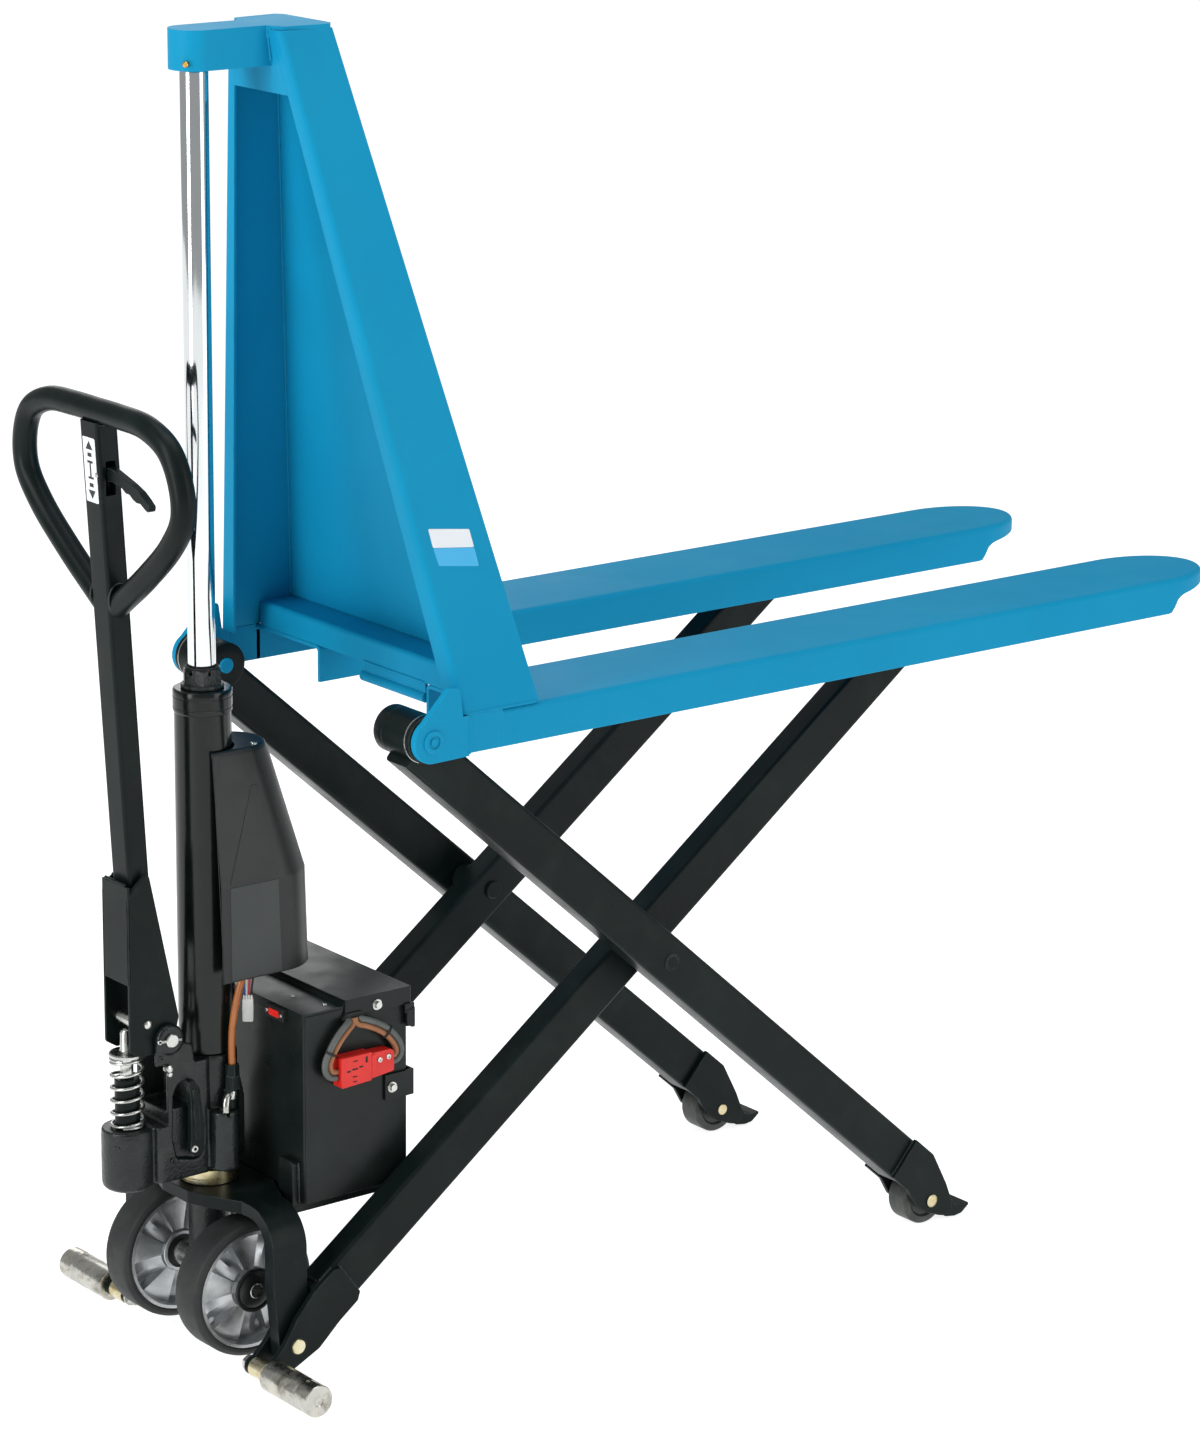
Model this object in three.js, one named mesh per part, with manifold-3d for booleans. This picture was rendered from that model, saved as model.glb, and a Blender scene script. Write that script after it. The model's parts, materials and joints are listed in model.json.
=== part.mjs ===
// High-lift scissor pallet truck with an electro-hydraulic power pack, forks raised.
// Millimetres. +X points to the fork tips, +Z up, floor at Z = 0.
// Every shape is laid out in a frame whose Z axis is the lift cylinder; the whole
// group is then shifted along X so that the origin is the centre of the footprint.
import * as THREE from "three";
import { mergeVertices } from "three/addons/utils/BufferGeometryUtils.js";
import Module from "manifold-3d";

const wasm = await Module();
wasm.setup();

// ---------------------------------------------------------------- driving dimensions
const ORIGIN_X = 685.1; // lift cylinder axis is this far behind the origin

const FORK_TOP_Z = 863.4;
const FORK_PLATE = 5;
const FORK_SKIRT = 48.9;
const FORK_IN_Y = 118;
const FORK_OUT_Y = 270.4;
const FORK_REAR_X = 259;
const FORK_TIP_X = 1530.8;

const T1 = [158.452, 838.633]; // outer arm to fork pivot
const B = [9.12, 50.402]; // inner arm to yoke pivot
const C = [556.42, 471.61]; // centre of the scissor
const ARM1_DEG = -41.473; // outer arm slope, towards the load roller
const ARM2_DEG = 36.974; // inner arm slope, towards the fork roller
const T1_UV = [-541.247, 11.432];
const R1_UV = [632.905, -20.713];
const B_UV = [-690.579, -7.332];
const T2_UV = [602.5, 5];
const ARM1_Y = [203.8, 251.4];
const ARM2_Y = [138.8, 177.7];
const ARM_DEPTH = 60;
const ARM_WALL = 5;
const LOAD_ROLLER_R = 36.9;
const FORK_ROLLER_R = 20;

const ROD_R = 17.5;
const ROD_Z = [895.5, 1686.7];
const BARREL_R = 37.5;
const BARREL_Z = [400.3, 875.5];
const BORE_R = 21;
const BORE_BOTTOM_Z = 122;
const NUT_Z = [875.8, 903.1];
const NUT_FLATS = 46;

const AXLE = [-3.8, 104.7];
const WHEEL_R = 89.5;
const WHEEL_Y = [56, 108];
const FOOT_XZ = [-30.4, 21];
const FOOT_R = 21;
const FOOT_END_Y = 289.8;

const YOKE_TOP_Z = 226;
const YOKE_T = 17;
const YOKE_LEG_Y = [153, 173];

const HANDLE_PIVOT = [-80, 437];
const PUMP_X = -121;

const MAST_REAR_X = (z) => 204 - 0.1449 * (z - 870);
const MAST_FRONT_X = (z) => 322 - 0.1936 * (z - 870);
const MAST_HALF_Y = (z) => 268 - 0.2564 * (z - 870);
const MAST_FLANGE = (z) => 31 - 0.0154 * (z - 870);
const MAST_Z = [863.8, 1690];

const BOX_X = [60, 220];
const BOX_Y = 130;
const BOX_Z = [212, 470];

// ---------------------------------------------------------------- materials
const mat = (hex, roughness, metalness) =>
  new THREE.MeshStandardMaterial({ color: hex, roughness, metalness });
const BLUE = mat(0x0f86bb, 0.42, 0.1);
const BLACK = mat(0x1a2120, 0.38, 0.2);
const CAST = mat(0x161b1b, 0.5, 0.3);
const CHROME = mat(0xdfe3e4, 0.08, 1);
const ZINC = mat(0xc9bd8a, 0.3, 1);
const STEEL = mat(0xaeb2b0, 0.32, 1);
const ALU = mat(0xb4b8b9, 0.35, 0.9);
const RUBBER = mat(0x1c1e1e, 0.75, 0);
const PLASTIC = mat(0x141616, 0.45, 0);
const RED = mat(0xd4231f, 0.4, 0);
const COPPER = mat(0xa8602c, 0.35, 0.2);
const GREY = mat(0x565a58, 0.6, 0);

// ---------------------------------------------------------------- solid helpers
function toSolid(geometry) {
  const g = geometry.index ? geometry.toNonIndexed() : geometry.clone();
  g.deleteAttribute("normal");
  g.deleteAttribute("uv");
  const m = mergeVertices(g, 1e-4);
  return new wasm.Manifold(
    new wasm.Mesh({
      numProp: 3,
      vertProperties: new Float32Array(m.attributes.position.array),
      triVerts: new Uint32Array(m.index.array),
    }),
  );
}
function toGeometry(solid) {
  const m = solid.getMesh();
  const pos = new Float32Array(m.numVert * 3);
  for (let i = 0; i < m.numVert; i++)
    pos.set(m.vertProperties.subarray(i * m.numProp, i * m.numProp + 3), i * 3);
  const g = new THREE.BufferGeometry();
  g.setAttribute("position", new THREE.BufferAttribute(pos, 3));
  g.setIndex(new THREE.BufferAttribute(new Uint32Array(m.triVerts), 1));
  const flat = g.toNonIndexed();
  flat.computeVertexNormals();
  return flat;
}
const union = (...s) => s.reduce((a, b) => a.add(b));
const cut = (a, ...s) => s.reduce((x, b) => x.subtract(b), a);
function moved(geometry, matrix) {
  return toSolid(geometry.clone().applyMatrix4(matrix));
}
function flipY(solid) {
  const m = solid.getMesh();
  const pos = new Float32Array(m.numVert * 3);
  for (let i = 0; i < m.numVert; i++) {
    const p = m.vertProperties.subarray(i * m.numProp, i * m.numProp + 3);
    pos.set([p[0], -p[1], p[2]], i * 3);
  }
  const t = new Uint32Array(m.triVerts);
  for (let i = 0; i < t.length; i += 3) [t[i + 1], t[i + 2]] = [t[i + 2], t[i + 1]];
  return new wasm.Manifold(
    new wasm.Mesh({ numProp: 3, vertProperties: pos, triVerts: t }),
  );
}
function shapeOf(points, holes = []) {
  const s = new THREE.Shape(points.map((p) => new THREE.Vector2(p[0], p[1])));
  for (const h of holes)
    s.holes.push(new THREE.Path(h.map((p) => new THREE.Vector2(p[0], p[1]))));
  return s;
}
const AXES = {
  // local (u, v, w): outline in u-v, depth along w
  x: new THREE.Matrix4().makeBasis(
    new THREE.Vector3(0, 1, 0),
    new THREE.Vector3(0, 0, 1),
    new THREE.Vector3(1, 0, 0),
  ),
  y: new THREE.Matrix4().makeBasis(
    new THREE.Vector3(1, 0, 0),
    new THREE.Vector3(0, 0, 1),
    new THREE.Vector3(0, -1, 0),
  ),
  z: new THREE.Matrix4(),
};
// A prism of an outline: along z the outline is (x, y), along y it is (x, z), along x it is (y, z).
function prism(axis, points, from, to, holes = []) {
  const g = new THREE.ExtrudeGeometry(shapeOf(points, holes), {
    depth: to - from,
    bevelEnabled: false,
    curveSegments: 1,
  });
  g.translate(0, 0, axis === "y" ? -to : from);
  return moved(g, AXES[axis]);
}
function box(x0, x1, y0, y1, z0, z1) {
  const g = new THREE.BoxGeometry(x1 - x0, y1 - y0, z1 - z0);
  g.translate((x0 + x1) / 2, (y0 + y1) / 2, (z0 + z1) / 2);
  return toSolid(g);
}
function circle(cx, cy, r, n = 24, turn = 0) {
  const p = [];
  for (let i = 0; i < n; i++) {
    const a = turn + (i * 2 * Math.PI) / n;
    p.push([cx + r * Math.cos(a), cy + r * Math.sin(a)]);
  }
  return p;
}
function arc(cx, cy, r, a0, a1, n) {
  const p = [];
  for (let i = 0; i <= n; i++) {
    const a = ((a0 + ((a1 - a0) * i) / n) * Math.PI) / 180;
    p.push([cx + r * Math.cos(a), cy + r * Math.sin(a)]);
  }
  return p;
}
const rodY = (x, z, r, y0, y1, n = 20) => prism("y", circle(x, z, r, n), y0, y1);
const rodZ = (x, y, r, z0, z1, n = 24) => prism("z", circle(x, y, r, n), z0, z1);
// Turned part on an axis parallel to Y through (x, z); profile is a list of [radius, y].
function turnedY(x, z, profile, n = 20) {
  const g = new THREE.LatheGeometry(
    profile.map((p) => new THREE.Vector2(p[0], p[1])),
    n,
  );
  g.translate(x, 0, z);
  return toSolid(g);
}
function turnedZ(x, y, profile, n = 24) {
  const g = new THREE.LatheGeometry(
    profile.map((p) => new THREE.Vector2(p[0], p[1])),
    n,
  );
  g.rotateX(Math.PI / 2);
  g.translate(x, y, 0);
  return toSolid(g);
}
// Closed loft through horizontal sections with the same number of points each.
function loft(sections, diagonal = () => false) {
  const n = sections[0].pts.length;
  const pos = [];
  for (const s of sections) for (const p of s.pts) pos.push(p[0], p[1], s.z);
  const idx = [];
  for (let k = 0; k + 1 < sections.length; k++)
    for (let i = 0; i < n; i++) {
      const a = k * n + i,
        b = k * n + ((i + 1) % n),
        c = (k + 1) * n + i,
        d = (k + 1) * n + ((i + 1) % n);
      if (diagonal(k, i)) idx.push(a, b, c, b, d, c);
      else idx.push(a, b, d, a, d, c);
    }
  const cap = (k, flip) => {
    const pts = sections[k].pts.map((p) => new THREE.Vector2(p[0], p[1]));
    for (const t of THREE.ShapeUtils.triangulateShape(pts, [])) {
      const [a, b, c] = t.map((i) => k * n + i);
      if (flip) idx.push(a, c, b);
      else idx.push(a, b, c);
    }
  };
  cap(0, true);
  cap(sections.length - 1, false);
  const g = new THREE.BufferGeometry();
  g.setAttribute("position", new THREE.BufferAttribute(new Float32Array(pos), 3));
  g.setIndex(idx);
  return toSolid(g);
}
// A bar of round section along a smooth curve through points.
function tube(points, r, sides, steps, closed = false) {
  const curve = new THREE.CatmullRomCurve3(
    points.map((p) => new THREE.Vector3(...p)),
    closed,
    "centripetal",
  );
  return toSolid(
    new THREE.ExtrudeGeometry(shapeOf(circle(0, 0, r, sides)), {
      steps,
      bevelEnabled: false,
      extrudePath: curve,
    }),
  );
}

// ---------------------------------------------------------------- scene graph
const truck = new THREE.Group();
const sub = () => {
  const g = new THREE.Group();
  truck.add(g);
  return g;
};
const G = {
  chassis: sub(),
  steer: sub(),
  handle: sub(),
  arms_inner: sub(),
  arms_outer: sub(),
  forks: sub(),
};
function add(group, name, solid, material) {
  const m = new THREE.Mesh(toGeometry(solid), material);
  m.name = name;
  group.add(m);
}
function pair(group, name, solid, material) {
  add(group, name + "_left", solid, material);
  add(group, name + "_right", flipY(solid), material);
}

// ---------------------------------------------------------------- forks and mast
{
  const z0 = FORK_TOP_Z - FORK_SKIRT,
    zp = FORK_TOP_Z - FORK_PLATE,
    mid = (FORK_IN_Y + FORK_OUT_Y) / 2,
    half = (FORK_OUT_Y - FORK_IN_Y) / 2,
    noseX = FORK_TIP_X - 112;
  const nose = (dx, dh, ax) => {
    const p = [];
    for (let i = 0; i <= 12; i++) {
      const a = -Math.PI / 2 + (Math.PI * i) / 12;
      p.push([noseX + (ax - dx) * Math.cos(a), mid + (half - dh) * Math.sin(a)]);
    }
    return p;
  };
  const outer = prism(
    "z",
    [[FORK_REAR_X, FORK_OUT_Y], [FORK_REAR_X, FORK_IN_Y], ...nose(0, 0, 112)],
    z0,
    FORK_TOP_Z,
  );
  const hollow = prism(
    "z",
    [
      [FORK_REAR_X - 5, FORK_OUT_Y - FORK_PLATE],
      [FORK_REAR_X - 5, FORK_IN_Y + FORK_PLATE],
      ...nose(FORK_PLATE, FORK_PLATE, 112),
    ],
    z0 - 5,
    zp,
  );
  // the skirt steps up before the nose
  const step = prism(
    "y",
    [
      [1424, z0 - 10],
      [1436, z0 + 18],
      [1452, z0 + 24],
      [1540, z0 + 30],
      [1540, z0 - 10],
    ],
    FORK_IN_Y - 5,
    FORK_OUT_Y + 5,
  );
  const lug = prism(
    "y",
    [
      ...arc(T1[0], T1[1], 28, 122, 270, 10),
      [206, 811.5],
      [206, FORK_TOP_Z],
      [204.4, FORK_TOP_Z],
      [199.2, 900],
      [184, 903],
    ],
    263.2,
    272,
  );
  const rail = prism(
    "y",
    [
      [205, z0],
      [FORK_REAR_X + 4, z0],
      [FORK_REAR_X + 4, FORK_TOP_Z],
      [205, FORK_TOP_Z],
    ],
    FORK_OUT_Y - FORK_PLATE,
    FORK_OUT_Y,
  );
  const fork = cut(
    union(cut(outer, hollow, step), rail, lug),
    rodY(T1[0], T1[1], 10.6, 250, 280),
  );
  pair(G.forks, "fork", fork, BLUE);

  // tapered side plate with its rear edge folded inwards
  const sect = (z) => {
    const r = MAST_REAR_X(z),
      f = MAST_FRONT_X(z),
      y = MAST_HALF_Y(z),
      w = MAST_FLANGE(z);
    return {
      z,
      pts: [
        [r, y - w],
        [r + 4, y - w],
        [r + 5, y - 5],
        [f, y - 5],
        [f, y],
        [r + 3, y],
        [r, y - 3],
      ],
    };
  };
  pair(G.forks, "mast_side", loft([sect(MAST_Z[0]), sect(MAST_Z[1])]), BLUE);
  const panel = (z) => {
    const f = MAST_FRONT_X(z),
      y = MAST_HALF_Y(z) - 5.4;
    return {
      z,
      pts: [
        [f - 7, -y],
        [f - 2, -y],
        [f - 2, y],
        [f - 7, y],
      ],
    };
  };
  add(G.forks, "mast_front_panel", loft([panel(897.4), panel(1689)]), BLUE);
  const bh = MAST_HALF_Y(897) - 5.6;
  add(
    G.forks,
    "mast_base_beam",
    union(
      box(259, 316.5, -bh, bh, 892, 897),
      box(259, 264, -bh, bh, 863.8, 897),
      box(311.5, 316.5, -bh, bh, 863.8, 897),
      box(259, 264, -116, 20, 843, 870),
      rodY(261, 845, 7, -116, 22, 12),
    ),
    BLUE,
  );

  // head cap: a hollow box that carries the rod and closes the mast top
  const plan = [
    ...arc(0, 0, 31.3, 90, 270, 14),
    [84, -31.3],
    [92, -55],
    [160, -60],
    [165, -52],
    [165, 52],
    [160, 60],
    [92, 55],
    [84, 31.3],
  ];
  const walls = prism(
    "z",
    [...arc(0, 0, 31.3, 90, 270, 14), [97, -31.3], [97, 31.3]],
    1646,
    1692,
  );
  const pocket = prism(
    "z",
    [...arc(0, 0, 28.3, 90, 270, 14), [90, -28.3], [90, 28.3]],
    1640,
    1687,
  );
  const roof = prism("z", plan, 1690.4, 1695.4);
  const band = loft(
    [1612, 1692].map((z) => ({
      z,
      pts: [
        [MAST_REAR_X(z) + 0.5, -(MAST_HALF_Y(z) - MAST_FLANGE(z) - 0.6)],
        [MAST_REAR_X(z) + 4.5, -(MAST_HALF_Y(z) - MAST_FLANGE(z) - 0.6)],
        [MAST_REAR_X(z) + 4.5, MAST_HALF_Y(z) - MAST_FLANGE(z) - 0.6],
        [MAST_REAR_X(z) + 0.5, MAST_HALF_Y(z) - MAST_FLANGE(z) - 0.6],
      ],
    })),
  );
  add(G.forks, "mast_head", union(cut(walls, pocket), band, roof), BLUE);
  add(G.forks, "lift_rod", rodZ(0, 0, ROD_R, ROD_Z[0], ROD_Z[1], 28), CHROME);
  pair(
    G.forks,
    "fork_pin",
    union(rodY(T1[0], T1[1], 10, 183, 274, 20), rodY(T1[0], T1[1], 14, 272.3, 275, 20)),
    ZINC,
  );
}

// ---------------------------------------------------------------- scissor arms
const place = (deg) => {
  const a = (deg * Math.PI) / 180;
  return ([u, v]) => [
    C[0] + u * Math.cos(a) - v * Math.sin(a),
    C[1] + u * Math.sin(a) + v * Math.cos(a),
  ];
};
const A1 = place(ARM1_DEG),
  A2 = place(ARM2_DEG);
const H = ARM_DEPTH / 2,
  W = ARM_WALL;
const inFrame = (f, pts) => pts.map(f);
function boxArm(f, u0, u1, y) {
  const rect = (v, a, b) => inFrame(f, [[a, -v], [b, -v], [b, v], [a, v]]);
  return cut(
    prism("y", rect(H, u0, u1), y[0], y[1]),
    prism("y", rect(H - W, u0 - 1, u1 + 1), y[0] + W, y[1] - W),
  );
}
{
  // outer arms: fork pivot to load roller
  const t1 = A1(T1_UV),
    r1 = A1(R1_UV);
  const arm = cut(
    union(
      boxArm(A1, T1_UV[0] + 6, 566, ARM1_Y),
      rodY(t1[0], t1[1], 30, 185.4, 262.4, 28),
    ),
    rodY(t1[0], t1[1], 10.8, 180, 270, 20),
    rodY(C[0], C[1], 12.6, 190, 260, 20),
  );
  pair(G.arms_outer, "outer_arm", arm, BLACK);

  // load roller bracket: two cheeks, a web and a round-nosed toe in front of the roller
  const cheek = [
    [548, 31],
    [590, 31],
    [640, 12],
    ...[
      [668, -2],
      [676, -12],
      [672, -24],
      [660, -30],
    ],
    [636, -38],
    [612, -40],
    [585, -31],
    [548, -31],
  ];
  const c0 = prism("y", inFrame(A1, cheek), 251.8, 258.8),
    c1 = prism("y", inFrame(A1, cheek), 196.4, 203.4);
  const web = prism(
    "y",
    inFrame(A1, [
      [567, 31],
      [590, 31],
      [596, 27],
      [580, 24],
      [575, -10],
      [567, -10],
    ]),
    198,
    257,
  );
  const toe = prism(
    "y",
    inFrame(A1, [
      [666, 0],
      [678, -4],
      [690, 2],
      [697, 12],
      [700, 10],
      [697, -6],
      [688, -16],
      [672, -26],
      [668, -20],
      [671, -12],
    ]),
    197,
    258.4,
  );
  const toeNode = cut(
    union(c0, c1, web, toe),
    rodY(r1[0], r1[1], LOAD_ROLLER_R + 1.2, 203.4, 251.8, 28),
    rodY(r1[0], r1[1], 8.5, 190, 265, 16),
  );
  pair(G.arms_outer, "toe_bracket", toeNode, BLACK);
  pair(
    G.arms_outer,
    "load_roller",
    turnedY(r1[0], r1[1], [
      [9, 209],
      [LOAD_ROLLER_R - 2, 209],
      [LOAD_ROLLER_R, 211],
      [LOAD_ROLLER_R, 244],
      [LOAD_ROLLER_R - 2, 246],
      [9, 246],
      [9, 209],
    ], 24),
    RUBBER,
  );
  pair(
    G.arms_outer,
    "roller_axle",
    rodY(r1[0], r1[1], 8, 194.6, 260.8, 16),
    ZINC,
  );
  pair(
    G.arms_outer,
    "scissor_pin",
    union(rodY(C[0], C[1], 12, 134, 253, 20), rodY(C[0], C[1], 21, 178.2, 203.3, 20)),
    BLACK,
  );
}
{
  // inner arms: yoke pivot to fork roller
  const b = A2(B_UV),
    t2 = A2(T2_UV);
  const end = prism(
    "y",
    inFrame(A2, [
      [594, 31],
      [618, 14],
      [622, 8],
      [622, -14],
      [608, -31],
      [660, -40],
      [660, 40],
    ]),
    130,
    185,
  );
  const arm = cut(
    boxArm(A2, B_UV[0] + 75, 618, ARM2_Y),
    end,
    rodY(C[0], C[1], 12.6, 130, 190, 20),
    rodY(t2[0], t2[1], 8.5, 130, 190, 16),
  );
  pair(G.arms_inner, "inner_arm", arm, BLACK);

  // clevis bracket: two plates astride the yoke leg, joined by a web, and holding the foot
  const fu = [FOOT_XZ[0] - C[0], FOOT_XZ[1] - C[1]];
  const a = (-ARM2_DEG * Math.PI) / 180;
  const footUV = [
    fu[0] * Math.cos(a) - fu[1] * Math.sin(a),
    fu[0] * Math.sin(a) + fu[1] * Math.cos(a),
  ];
  const fx = footUV[0],
    fv = footUV[1];
  const bu = B_UV[0],
    bv = B_UV[1];
  const outline = (far) => [
    [fx - 11, fv - 10],
    [fx + 2, fv - 15],
    [bu + 20, bv - 28],
    [bu + 62, -31],
    [far, -31],
    [far, 31],
    [bu + 62, 31],
    [bu + 22, bv + 30],
    [bu - 14, bv + 16],
    [fx - 14, fv + 8],
  ];
  const plateOut = prism("y", inFrame(A2, outline(bu + 108)), 178.1, 187);
  const plateIn = prism("y", inFrame(A2, outline(bu + 74.4)), 142, 150);
  const web = prism(
    "y",
    inFrame(A2, [
      [bu + 62, -31],
      [bu + 74.4, -31],
      [bu + 74.4, 31],
      [bu + 62, 31],
    ]),
    142,
    187,
  );
  const bracket = cut(
    union(plateOut, plateIn, web),
    rodY(b[0], b[1], 10.6, 130, 195, 20),
    rodY(FOOT_XZ[0], FOOT_XZ[1], 9.4, 130, 195, 16),
  );
  pair(G.arms_inner, "arm_bracket", bracket, BLACK);
  pair(
    G.arms_inner,
    "foot",
    turnedY(FOOT_XZ[0], FOOT_XZ[1], [
      [0, 132],
      [12, 132],
      [12, 141.4],
      [9, 141.4],
      [9, 187.4],
      [FOOT_R - 1.5, 187.4],
      [FOOT_R, 189],
      [FOOT_R, FOOT_END_Y - 2],
      [FOOT_R - 2, FOOT_END_Y],
      [0, FOOT_END_Y],
    ], 18),
    STEEL,
  );
  pair(
    G.arms_inner,
    "fork_roller",
    turnedY(t2[0], t2[1], [
      [0, 136],
      [8, 136],
      [8, 179.4],
      [FORK_ROLLER_R, 179.4],
      [FORK_ROLLER_R, 193],
      [0, 193],
    ], 18),
    STEEL,
  );
}

// ---------------------------------------------------------------- chassis
{
  const [l0, l1] = YOKE_LEG_Y;
  const zt = YOKE_TOP_Z,
    t = YOKE_T,
    ro = 52,
    ri = 32;
  const band = prism(
    "x",
    [
      ...arc(l1 - ro, zt - ro, ro, 0, 90, 6),
      ...arc(-(l1 - ro), zt - ro, ro, 90, 180, 6),
      [-l1, 26],
      [-l0, 26],
      ...arc(-(l0 - ri), zt - t - ri, ri, 180, 90, 5),
      ...arc(l0 - ri, zt - t - ri, ri, 90, 0, 5),
      [l0, 26],
      [l1, 26],
    ],
    -18,
    33,
  );
  const taper = (s) =>
    prism(
      "y",
      s < 0
        ? [
            [-40, 20],
            [-8, 20],
            [-11, 55],
            [-12, 70],
            [-18.2, 130],
            [-40, 130],
          ]
        : [
            [60, 20],
            [27, 20],
            [30, 55],
            [31, 80],
            [33.2, 130],
            [60, 130],
          ],
      -200,
      200,
    );
  const deck = prism(
    "z",
    [
      [-52, -30],
      [-44, -52],
      [-18, -104],
      [33, -118],
      [58, -60],
      [58, 60],
      [33, 118],
      [-18, 104],
      [-44, 52],
      [-52, 30],
    ],
    zt - t,
    zt,
  );
  const yoke = cut(
    union(cut(band, taper(-1), taper(1)), deck),
    rodZ(0, 0, 30, zt - t - 5, zt + 5, 28),
    rodY(B[0], B[1], 10.6, -200, 200, 20),
  );
  add(G.chassis, "yoke", yoke, BLACK);
  add(
    G.chassis,
    "thrust_ring",
    cut(rodZ(0, 0, 38.5, 226.3, 246.7, 24), rodZ(0, 0, 28.6, 220, 250, 24)),
    ZINC,
  );
  pair(
    G.chassis,
    "main_pin",
    union(rodY(B[0], B[1], 10, 139.6, 189.4, 20)),
    ZINC,
  );
  const tab = (y0, y1) => box(49, 59.6, y0, y1, 206, 268);
  add(
    G.chassis,
    "battery_tray",
    union(
      box(32, 226, -118, 118, 198, 208.7),
      box(59, 226, -118, 118, 198, 211.6),
      tab(-118, -86),
      tab(86, 118),
      box(222, 226, -118, 118, 200, 240),
    ),
    BLACK,
  );
  const [x0, x1] = BOX_X,
    [z0, z1] = BOX_Z,
    y = BOX_Y;
  add(
    G.chassis,
    "battery_box",
    cut(
      box(x0, x1, -y, y, z0, z1),
      box(124, x1 - 3, -(y - 3), y - 3, z0 + 3, z1 + 10),
      box(x0 + 3, 130, -(y - 3), y - 3, z0 + 3, z1 - 7),
      box(x0 - 5, 121, -y - 5, y + 5, z1 - 4, z1 + 10),
    ),
    BLACK,
  );
  add(
    G.chassis,
    "battery_lid",
    cut(
      box(121.6, 223.8, -133.8, 133.8, 451, 474),
      box(115, 220.6, -130.5, 130.5, 440, 470.4),
    ),
    BLACK,
  );
  add(G.chassis, "battery_front", box(64, 140, -124, 124, 216, 430), GREY);
  add(G.chassis, "battery_rear", box(142, 216, -124, 124, 216, 430), GREY);
  add(
    G.chassis,
    "box_clamp",
    union(box(183, 229, -134, -130.4, 327, 361), box(225.6, 229, -134, -96, 327, 361)),
    BLACK,
  );
  // battery connector halves on the side of the box, and their leads
  add(G.chassis, "battery_socket", box(104, 150.6, -150, -130.6, 364, 404), RED);
  add(G.chassis, "battery_plug", box(151, 186, -149, -131, 368, 402), RED);
  add(
    G.chassis,
    "battery_lead_front",
    tube(
      [
        [139, -135.6, 449.6],
        [139.5, -137, 445],
        [150, -141, 441],
        [168, -141, 432],
        [184, -141, 420],
        [196, -141, 404],
        [198.5, -141, 394],
        [194, -141, 386.5],
        [187.4, -141, 385],
      ],
      4.8,
      8,
      16,
    ),
    GREY,
  );
  add(
    G.chassis,
    "battery_lead_rear",
    tube(
      [
        [128, -135.6, 449.6],
        [127.5, -137, 445],
        [118, -141, 440],
        [106, -141, 428],
        [96, -141, 414],
        [89, -141, 400],
        [89, -141, 390],
        [94, -141, 383],
        [102.6, -141, 381],
      ],
      4.8,
      8,
      16,
    ),
    GREY,
  );
}

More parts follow.
